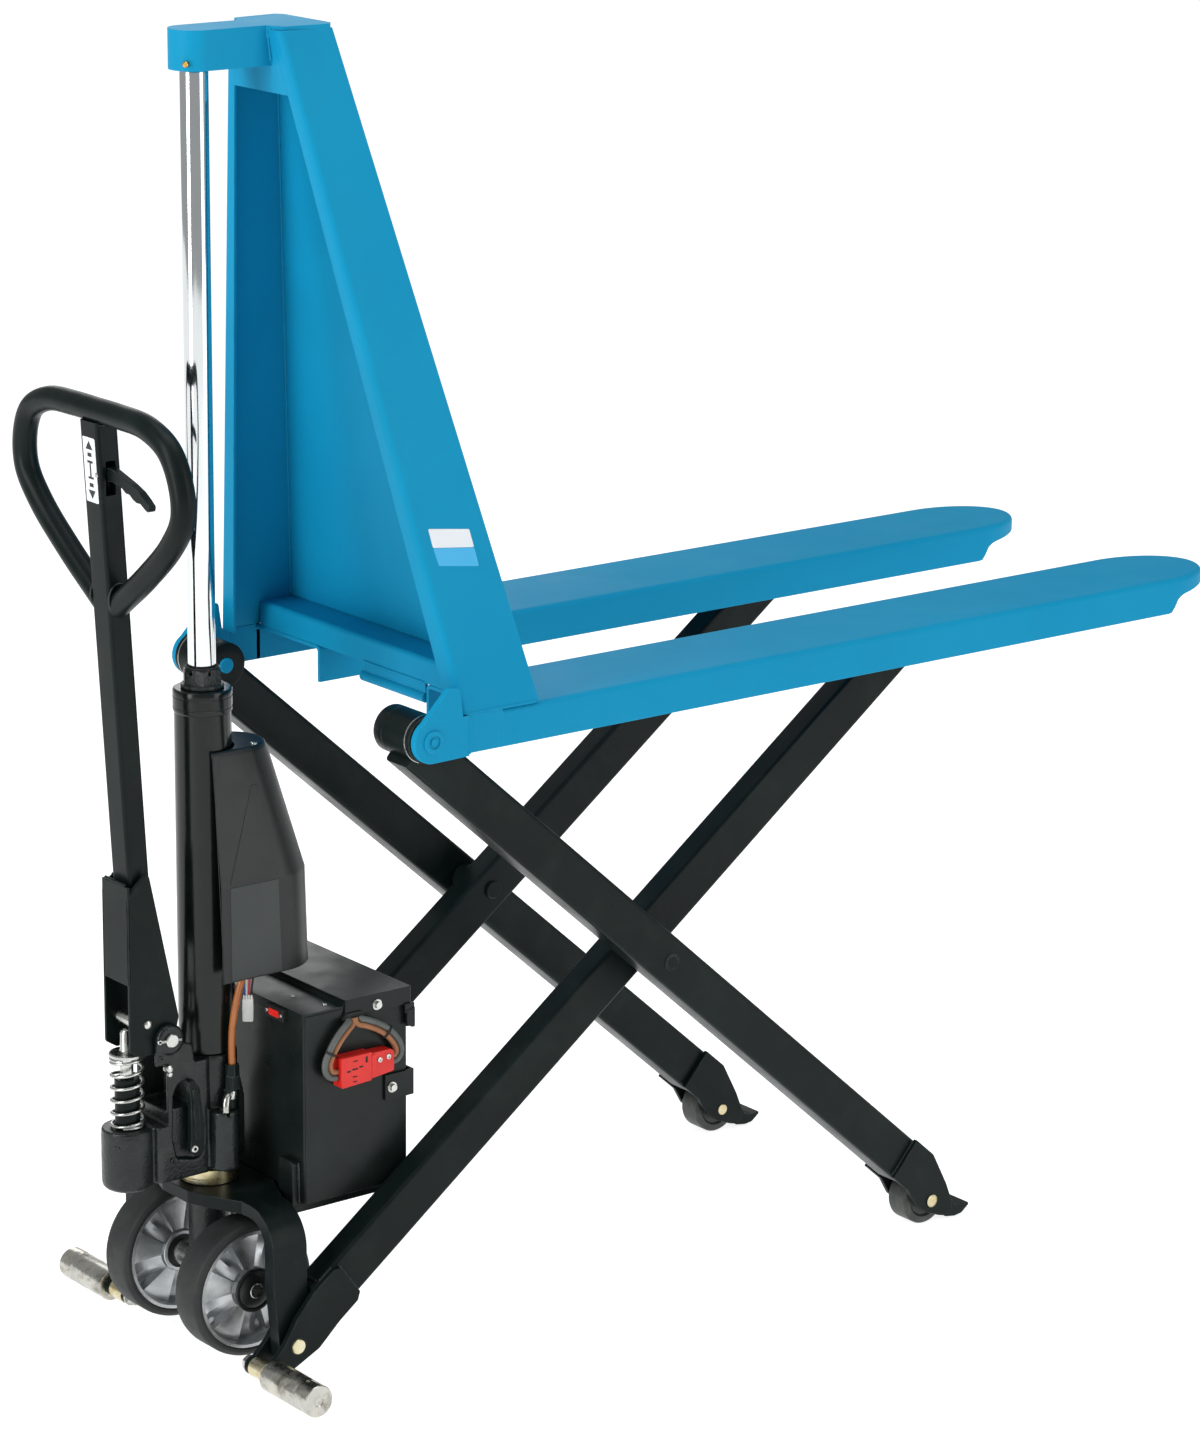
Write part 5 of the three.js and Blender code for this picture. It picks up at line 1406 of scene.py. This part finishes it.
# power pack cover
def cover_ring(z, xs, w, inset, x0=-14.0, n=40):
    """Plan of the cover at height z: flat sides blending into a round front."""
    ww = w - inset
    pts = [Vector((8.0, ww, z)), Vector(((8.0 + xs) * 0.5, ww, z))]
    for i in range(n + 1):
        a = math.pi / 2 - math.pi * i / n
        pts.append(Vector((xs + ww * math.cos(a), ww * math.sin(a), z)))
    pts += [Vector(((x0 + xs) * 0.5, -ww, z)), Vector((x0, -ww, z))]
    return pts


bm = new()
levels = [(503, 81, 62), (504, 81, 62.3), (560, 79.8, 61.8), (626, 78.2, 61.3), (629, 78, 61), (632, 77.3, 60.6), (715, 60, 51.6), (792, 43.6, 43.6), (797.2, 42.2, 42.4), (799.4, 41, 40.9), (800, 39.6, 39.4)]
outer_r = [[bm.verts.new(p) for p in cover_ring(z, xs, w, 0)] for z, xs, w in levels]
inner_r = [[bm.verts.new(p) for p in cover_ring(z, xs, w, 3.0)] for z, xs, w in [(503, 81, 62.3), (560, 79.8, 61.8), (626, 78.2, 61.3), (632, 77.3, 60.6), (715, 60, 51.6), (792, 43.6, 43.6), (796.6, 42.2, 42.4)]]
for rings in (outer_r, inner_r):
    n = len(rings[0])
    for a, b in zip(rings, rings[1:]):
        for i in range(n - 1):
            bm.faces.new((a[i], a[i + 1], b[i + 1], b[i]))
n = len(outer_r[0])
for i in range(n - 1):
    bm.faces.new((outer_r[0][i], outer_r[0][i + 1], inner_r[0][i + 1], inner_r[0][i]))
# roof plates, notched round the barrel
top, low = outer_r[-1], inner_r[-1]
notch_t = [bm.verts.new(Vector((39.3 * math.cos(a), 39.3 * math.sin(a), 800))) for a in [math.radians(100 - 200 * i / 40) for i in range(41)]]
notch_t = [v for v in notch_t if abs(v.co.y) < 39.2 and v.co.x > (8.2 if v.co.y > 0 else -13.5)]
notch_b = [bm.verts.new(Vector((v.co.x, v.co.y, 796.6))) for v in notch_t]
for (rim, notch) in ((top, notch_t), (low, notch_b)):
    bm.faces.new(list(rim) + list(reversed(notch)))
for a, b in zip(range(len(notch_t) - 1), range(1, len(notch_t))):
    bm.faces.new((notch_t[a], notch_t[b], notch_b[b], notch_b[a]))
# the two rear edges
lev_in = {round(r[0].co.z, 1): r for r in inner_r}
for e in (0, -1):
    poly = [r[e] for r in outer_r]
    edge = [r[e] for r in reversed(inner_r)]
    tail = [notch_t[0 if e == 0 else -1], notch_b[0 if e == 0 else -1]]
    bm.faces.new(poly + tail + edge)
piece(bm, "power_pack_cover_shell", "plastic", "power_pack_cover", bevel=0.6, seg=2, angle=60, weighted=True)
# raised near and far panels with their diagonal and level creases
for s in (-1, 1):
    bm = new()

    def wall(x, z, off):
        if z <= 629:
            w = 62.2 + (61.2 - 62.2) * (z - 503) / 126
        else:
            w = 61.2 + (42.6 - 61.2) * (z - 629) / 171
        return Vector((x, s * (w + off), z))

    def plate(pts, t0, t1, bm=bm):
        lo_ = [bm.verts.new(wall(x, z, t0)) for x, z in pts]
        hi_ = [bm.verts.new(wall(x, z, t1)) for x, z in pts]
        bm.faces.new(lo_)
        bm.faces.new(hi_)
        for i in range(len(pts)):
            j = (i + 1) % len(pts)
            bm.faces.new((lo_[i], lo_[j], hi_[j], hi_[i]))

    r0 = -14 if s < 0 else 8
    plate([(r0, 503.5), (r0 + 9, 503.5), (r0 + 9, 797), (r0, 797)], -0.4, 1.3)
    # raised lower panel with its level and slanted edges
    plate([(r0 + 12, 631), (69, 631), (48, 752), (40, 752)], -0.6, 0.55)
    piece(bm, "cover_flange_" + ("right" if s < 0 else "left"), "plastic", (), body=body_of("power_pack_cover"), bevel=0.4, seg=2, angle=40)
# Lower side panels of the cover in the lighter grey copy of the plastic: painted reflection.
for s in (-1, 1):
    bm = new()
    r0 = -2 if s < 0 else 20
    pts = [(r0, 505), (74, 505), (70, 627), (r0, 627)]
    for t in (0,):
        lo_ = [bm.verts.new(Vector((x, s * (62.2 - (z - 503) / 126 - 0.6), z))) for x, z in pts]
        hi_ = [bm.verts.new(Vector((x, s * (62.2 - (z - 503) / 126 + 0.7), z))) for x, z in pts]
    bm.faces.new(lo_)
    bm.faces.new(hi_)
    for i in range(4):
        j = (i + 1) % 4
        bm.faces.new((lo_[i], lo_[j], hi_[j], hi_[i]))
    piece(bm, "cover_panel_" + ("right" if s < 0 else "left"), "panel", (), body=body_of("power_pack_cover"), bevel=0.4, seg=2, angle=40)
bm = new()
screw(bm, (53.8, -33.2, 800), (0, 0, 1), 4.2, 2.2)
screw(bm, (53.8, 33.2, 800), (0, 0, 1), 4.2, 2.2)
piece(bm, "cover_screws", "steel", (), body=body_of("power_pack_cover"), sharp=28)

# motor, pump block and reservoir under the cover
bm = new()
lathe(bm, (88, 0, 0), (0, 0, 1), [(0, 512), (37, 512), (41, 514.5), (42, 518), (42, 524), (40.6, 525), (40.6, 588), (42, 589), (42, 597), (40, 600), (0, 600)], 64, closed=False)
prism(bm, "z", fillet([(48, -30), (112, -30), (112, 30), (48, 30)], 4, 4), 599, 640)
lathe(bm, (74, 0, 0), (0, 0, 1), [(0, 638), (23, 638), (24, 640), (24, 726), (21, 730), (0, 730)], 48, closed=False)
for a in range(4):
    x_ = 88 + 34 * math.cos(math.radians(45 + 90 * a))
    y_ = 34 * math.sin(math.radians(45 + 90 * a))
    hexagon(bm, (x_, y_, 512.4), (0, 0, -1), 7, 4)
piece(bm, "power_pack_motor", "steel", "power_pack", sharp=28)
bm = new()
hexagon(bm, (70, -42, 512), (0, 0, -1), 7, 6)
rod(bm, (70, -42, 507), (70, -42, 500), 2.2, 16, 0.4)
piece(bm, "drain_screw", "brass", (), body=body_of("power_pack"), sharp=28)

# four-pole connector with its wires, under the cover, clear of the battery box as the unit steers
CC, CU = Vector((41.4, -32.4, 0)), Vector((0.788, -0.616, 0))
CV = Vector((0.616, 0.788, 0))


def place(bm):
    for v in bm.verts:
        v.co = CC + CU * v.co.x + CV * v.co.y + Vector((0, 0, v.co.z))


bm = new()
box(bm, -6.8, 6.8, -4, 4, 436, 466, 1.5, axis="y")
for xx in (-4.8, -1.6, 1.6, 4.8):
    box(bm, xx - 1.2, xx + 1.2, -3.2, 3.2, 465.5, 471, 0.6, axis="y")
box(bm, -7.4, -6.6, -2, 2, 449, 458, 0.3, axis="y")
box(bm, 6.6, 7.2, -2, 2, 449, 458, 0.3, axis="y")
place(bm)
piece(bm, "wire_connector", "white_plastic", (), body=body_of("power_pack_cover"), bevel=0.4, seg=2, angle=50)
for i, (xx, mk) in enumerate(((-4.8, "blue_wire"), (-1.6, "white_wire"), (1.6, "red_wire"), (4.8, "black_wire"))):
    bm = new()
    top_ = CC + CU * (xx * 1.6) + Vector((0, 0, 500))
    sweep(bm, spline([tuple(CC + CU * xx + Vector((0, 0, 469))), tuple(CC + CU * xx + Vector((0, 0, 478))), tuple(CC + CU * (xx * 1.3) + Vector((1, 1, 490))), tuple(top_), (62, -26 + 2 * i, 518)], 6), 1.3, 12)
    piece(bm, "wire_%d" % (i + 1), mk, (), body=body_of("power_pack_cover"), sharp=60)
# charge indicator on the box's rear face
bm = new()
box(bm, 52, 62.6, -95, -55, 448, 464, 1.5)
piece(bm, "indicator_case", "socket_dark", (), body=body_of("battery_box"), bevel=0.8, seg=2, angle=50)
bm = new()
prism(bm, "x", fillet([(-86, 451.5), (-64, 451.5), (-64, 460.5), (-86, 460.5)], 1.5, 3), 51.2, 52.4)
piece(bm, "indicator_lens", "red", (), body=body_of("battery_box"), bevel=0.3, seg=2, angle=50)
bm = new()
screw(bm, (52.2, -90.5, 456), (-1, 0, 0), 2.6, 1.6)
screw(bm, (52.2, -59.5, 456), (-1, 0, 0), 2.6, 1.6)
screw(bm, (105, -112, 466), (0, 0, 1), 3.0, 1.6)
screw(bm, (105, 112, 466), (0, 0, 1), 3.0, 1.6)
screw(bm, (92, -60, 466), (0, 0, 1), 3.0, 1.6)
piece(bm, "deck_screws", "steel", (), body=body_of("battery_box"), sharp=28)

# ------------------------------------------------------------------ handle
zs = [598, 640, 800, 1000, 1140, 1232]
bm = new()
secs = []
for z in zs:
    pts = fillet([(-15.5, -20), (15.5, -20), (15.5, 20), (-15.5, 20)], 5, 5)
    secs.append([Vector((hx(z) + p[0], p[1], z)) for p in pts])
loft(bm, secs)
k = new()
prism(k, "x", fillet([(-26, 1139), (-16.9, 1139), (-16.9, 1189), (-26, 1189)], 1, 3), -170, -100)
k2 = new()
prism(k2, "x", fillet([(-30, 1141), (-4, 1141), (-4, 1184), (-30, 1184)], 3, 4), hx(1160) - 7, hx(1160) + 7)
piece(bm, "handle_post", "black", "handle", bevel=0.8, seg=2, angle=50, cut=[("DIFFERENCE", k2)])
# loop
pts = [(14, 1000), (88, 1052), (150, 1104), (177, 1143), (176, 1184), (156, 1220), (112, 1240), (50, 1244)]
path = [Vector((hx(z), y, z)) for y, z in pts] + [Vector((hx(1244), 0, 1244))] + [Vector((hx(z), -y, z)) for y, z in reversed(pts)]
bm = new()
sweep(bm, spline(path, 10), 15.5, 40)
piece(bm, "handle_loop", "black", (), body="handle", sharp=60)
bm = new()
for s in (-1, 1):
    ring = []
    c = Vector((hx(1011), s * 20.6, 1011))
    for q in range(28):
        a = 2 * math.pi * q / 28
        ring.append(c + Vector((15.9 * math.cos(a), s * 0.2, 19.5 * math.sin(a))))
    sweep(bm, ring, 1.7, 8, closed=True)
for s in (-1, 1):
    weld(bm, [(hx(1229) + 14.5 * math.cos(q), s * 20.4, 1229.5 + 0 * q) for q in (0.2, 0.8, 1.4, 2.0, 2.6)], 1.8)
piece(bm, "handle_welds", "cast", (), body="handle", sharp=70)

# lower channel: two cheeks, rear plate and filler
bm = new()
px, pz = PIV
cheek = [*arc(px, pz, 16, -100, 25, 18), (-61, 462), (-103, 660), (-134, 630), (-134, 428), (-118, 418)]
cheek = cheek[:19] + fillet([cheek[18]] + cheek[19:] + [cheek[0]], [0, 10, 5, 5, 6, 6, 0], 5, closed=False)[1:-1]
prism(bm, "y", cheek, 26, 30)
prism(bm, "y", cheek, -30, -26)
prism(bm, "z", fillet([(-134, -30), (-130, -30), (-130, 30), (-134, 30)], 1.6, 3), 515, 644)
piece(bm, "handle_channel", "black", (), body="handle", bevel=0.9, seg=2, angle=45)
bm = new()
box(bm, -131, -99, -26.2, 26.2, 602, 640)
weld(bm, [(-131, -27.5, 634), (-104, -27.5, 659)], 2.0)
weld(bm, [(-131, 27.5, 634), (-104, 27.5, 659)], 2.0)
weld(bm, [(-133, -24, 646), (-133, 24, 646)], 2.0)
piece(bm, "handle_filler", "black", (), body="handle", bevel=0.8, seg=2, angle=45)
bm = new()
lathe(bm, (-117, 0, 462), (0, 1, 0), [(0, -26), (5, -26), (5, -16), (8, -16), (9, -15), (9, 15), (8, 16), (5, 16), (5, 26), (0, 26)], 40, closed=False)
piece(bm, "press_roller", "steel", (), body="handle", sharp=28)
bm = new()
lathe(bm, (-107.9, 0, 460.4), (0, 1, 0), [(0, -33.4), (3.8, -33.2), (5.4, -32), (5.8, -30), (0, -30)], 28, closed=False)
lathe(bm, (-107.9, 0, 460.4), (0, 1, 0), [(0, 30), (5.8, 30), (5.4, 32), (3.8, 33.2), (0, 33.4)], 28, closed=False)
piece(bm, "channel_rivets", "steel", (), body="handle", sharp=40)
# pivot pin with a split pin through each end
bm = new()
lathe(bm, (px, 0, pz), (0, 1, 0), [(0, -45.4), (7.8, -45.2), (9, -44), (9, 44), (7.8, 45.2), (0, 45.4)], 48, closed=False)
for s in (-1, 1):
    for dz_ in (-0.9, 0.9):
        rod(bm, (px - 15.5, s * 42.6, pz + dz_ + 1), (px + 14.5, s * 42.6, pz + dz_ - 1), 1.0, 10, 0.3)
    ring = [Vector((px - 17.6 + 2.6 * math.cos(q * math.pi / 8), s * 42.6, pz + 1 + 2.2 * math.sin(q * math.pi / 8))) for q in range(16)]
    sweep(bm, ring, 1.0, 8, closed=True)
piece(bm, "handle_pin_split", "steel", "handle_pin", sharp=28)

# generic direction plate on the post
bm = new()


def post_rear(y_, z_, off):
    return Vector((hx(z_) - 15.5 - off, y_, z_))


def sticker(bm, poly, t0, t1):
    lo_ = [bm.verts.new(post_rear(a, b, t0)) for a, b in poly]
    hi_ = [bm.verts.new(post_rear(a, b, t1)) for a, b in poly]
    bm.faces.new(lo_)
    bm.faces.new(hi_)
    for i in range(len(poly)):
        j = (i + 1) % len(poly)
        bm.faces.new((lo_[i], lo_[j], hi_[j], hi_[i]))


sticker(bm, fillet([(-13.5, 1131), (13.5, 1131), (13.5, 1212), (-13.5, 1212)], 2, 4), 0.02, 0.3)
piece(bm, "direction_plate", "white_film", (), body="handle")
bm = new()
sticker(bm, [(-8, 1197), (8, 1197), (0, 1208)], 0.3, 0.42)
sticker(bm, [(-8, 1146), (8, 1146), (0, 1135)], 0.3, 0.42)
sticker(bm, [(-4.5, 1188), (4.5, 1188), (4.5, 1193), (-4.5, 1193)], 0.3, 0.42)
sticker(bm, [(-4.5, 1150), (4.5, 1150), (4.5, 1155), (-4.5, 1155)], 0.3, 0.42)
sticker(bm, [(-6, 1160), (6, 1160), (6, 1163), (-6, 1163)], 0.3, 0.42)
sticker(bm, [(-6, 1180), (6, 1180), (6, 1183), (-6, 1183)], 0.3, 0.42)
sticker(bm, [(-1.6, 1163), (1.6, 1163), (1.6, 1180), (-1.6, 1180)], 0.3, 0.42)
piece(bm, "direction_arrows", "ink", (), body="handle")

# finger lever with a scalloped grip
bm = new()
lev = [(-12, 1158), (-12, 1176), (-30, 1176), (-52, 1170), (-72, 1164.5), (-90, 1158), (-102, 1151), (-112, 1144), (-110, 1136), (-100, 1140), (-92, 1144.5), (-84, 1144), (-76, 1146.5), (-68, 1151.5), (-60, 1151.5), (-52, 1156), (-42, 1158.5), (-30, 1160)]
xc = hx(1160)
prism(bm, "x", fillet(lev, [0.5, 3, 20, 20, 20, 16, 10, 3, 3, 6, 5, 5, 6, 5, 5, 6, 10, 10], 4), xc - 5, xc + 5)
piece(bm, "control_lever_forged", "black", "control_lever", bevel=1.8, seg=3, angle=50)
bm = new()
rod(bm, (xc - 16.8, -12.5, 1167), (xc + 16.8, -12.5, 1167), 3.4, 20, 0.6)
piece(bm, "control_lever_pin", "steel", (), body="handle", sharp=28)

# plunger, cap and push rod
bm = new()
lathe(bm, (PX, 0, 0), (0, 0, 1), [(0, 306), (15, 306), (16, 307), (16, 384), (15, 385), (9, 385), (9, 387), (0, 387)], 56, closed=False)
piece(bm, "pump_plunger_sleeve", "black", "pump_plunger", sharp=28)
bm = new()
lathe(bm, (PX, 0, 0), (0, 0, 1), [(0, 386.5), (8.6, 386.5), (8.6, 414.2), (20, 413.8), (22, 414.4), (22.5, 415.6), (22.5, 418), (21, 419.4), (12, 419.8), (9, 421.5), (8, 424), (8, 444.5), (6, 448.6), (3, 450.1), (0, 450.2)], 56, closed=False)
piece(bm, "push_rod_cap", "steel", (), body=body_of("pump_plunger"), sharp=28)

# spring
bm = new()
turns, r_m, wire, z_lo, z_hi = 7.0, 20.2, 2.15, 322.6, 411.4
N_ = 340
pts = []
for i in range(N_ + 1):
    q = i / N_
    ang = q * turns * 2 * math.pi
    e = 0.9 / turns
    if q < e:
        zz = wire * 0.35 * (q / e)
    elif q > 1 - e:
        zz = (z_hi - z_lo) - wire * 0.35 * ((1 - q) / e)
    else:
        qq = (q - e) / (1 - 2 * e)
        zz = wire * 0.35 + ((z_hi - z_lo) - wire * 0.7) * qq
    pts.append(Vector((PX + r_m * math.cos(ang - 2.4), r_m * math.sin(ang - 2.4), z_lo + zz)))
sweep(bm, pts, wire, 12, hint=Vector((0, 0, 1)))
sp = piece(bm, "pump_spring_coil", "chrome", "pump_spring", sharp=60)
sp.data.materials.clear()
sp.data.materials.append(M["steel"])
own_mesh(sp)

# lowering lever on the casting's near side
bm = new()
lv = [*arc(-46, 288, 11, 160, 380, 18), (-35, 318), (-39, 346), (-46, 372), (-50, 379), (-57, 379), (-57, 366), (-55, 346), (-56, 318)]
prism(bm, "y", fillet(lv, [0] * 19 + [10, 14, 8, 3, 3, 6, 14, 8], 4), -46, -38.5)
prism(bm, "y", fillet([(-50, 300), (-43, 300), (-44, 340), (-50, 366), (-53, 366), (-52, 340)], 3, 3), -48.2, -45.5)
piece(bm, "lowering_lever_forged", "black", "lowering_lever", bevel=1.2, seg=3, angle=45)


# ------------------------------------------------------------------ floor and light
def backdrop():
    me = bpy.data.meshes.new("floor")
    bm = bmesh.new()
    s = 14.0
    prof = [(-s, 0.0), (s, 0.0)]
    for y_, z_ in prof:
        pass
    vs = [bm.verts.new((x, y_, 0)) for x, y_ in ((-s, -s), (s, -s), (s, s), (-s, s))]
    bm.faces.new(vs)
    bm.to_mesh(me)
    bm.free()
    ob = bpy.data.objects.new("floor", me)
    bpy.context.scene.collection.objects.link(ob)
    m = bpy.data.materials.new("pale_floor")
    m.use_nodes = True
    b = m.node_tree.nodes["Principled BSDF"]
    b.inputs["Base Color"].default_value = (0.55, 0.55, 0.55, 1)
    b.inputs["Emission Color"].default_value = (1, 1, 1, 1)
    b.inputs["Emission Strength"].default_value = 0.86
    b.inputs["Roughness"].default_value = 0.9
    b.inputs["Specular IOR Level"].default_value = 0.1
    me.materials.append(m)


def area(name, loc, target, size, power, size_y=None):
    li = bpy.data.lights.new(name, "AREA")
    li.energy = power
    li.size = size
    if size_y:
        li.shape = "RECTANGLE"
        li.size_y = size_y
    ob = bpy.data.objects.new(name, li)
    bpy.context.scene.collection.objects.link(ob)
    ob.location = loc
    d = Vector(target) - Vector(loc)
    ob.rotation_mode = "QUATERNION"
    ob.rotation_quaternion = d.to_track_quat("-Z", "Y")
    return ob


backdrop()
w = bpy.data.worlds.new("studio")
bpy.context.scene.world = w
w.use_nodes = True
wt = w.node_tree
bg = wt.nodes["Background"]
bg.inputs[0].default_value = (1, 1, 1, 1)
bg.inputs[1].default_value = 1.0
soft = wt.nodes.new("ShaderNodeBackground")
soft.inputs[0].default_value = (0.97, 0.985, 1, 1)
soft.inputs[1].default_value = 0.38
lp = wt.nodes.new("ShaderNodeLightPath")
mx = wt.nodes.new("ShaderNodeMixShader")
wt.links.new(lp.outputs["Is Camera Ray"], mx.inputs[0])
wt.links.new(soft.outputs[0], mx.inputs[1])
wt.links.new(bg.outputs[0], mx.inputs[2])
wt.links.new(mx.outputs[0], wt.nodes["World Output"].inputs[0])
area("left_softbox", (-3.5, -0.2, 1.9), (-0.1, 0, 0.8), 1.1, 66, 3.2)
area("right_softbox", (1.5, -4.2, 1.9), (0.0, 0, 0.8), 2.2, 52, 3.6)
area("top_softbox", (0.2, -0.2, 4.3), (0, 0, 0.6), 3.0, 62)
area("back_softbox", (1.6, 3.8, 2.4), (0, 0, 0.8), 2.0, 22)
bpy.context.scene.view_settings.view_transform = "Standard"
bpy.context.scene.view_settings.look = "None"

for n_, o_ in NODES.items():
    if not o_.hide_render:
        o_.data.materials.clear()
        o_.data.materials.append(M["black"])

bpy.context.view_layer.update()
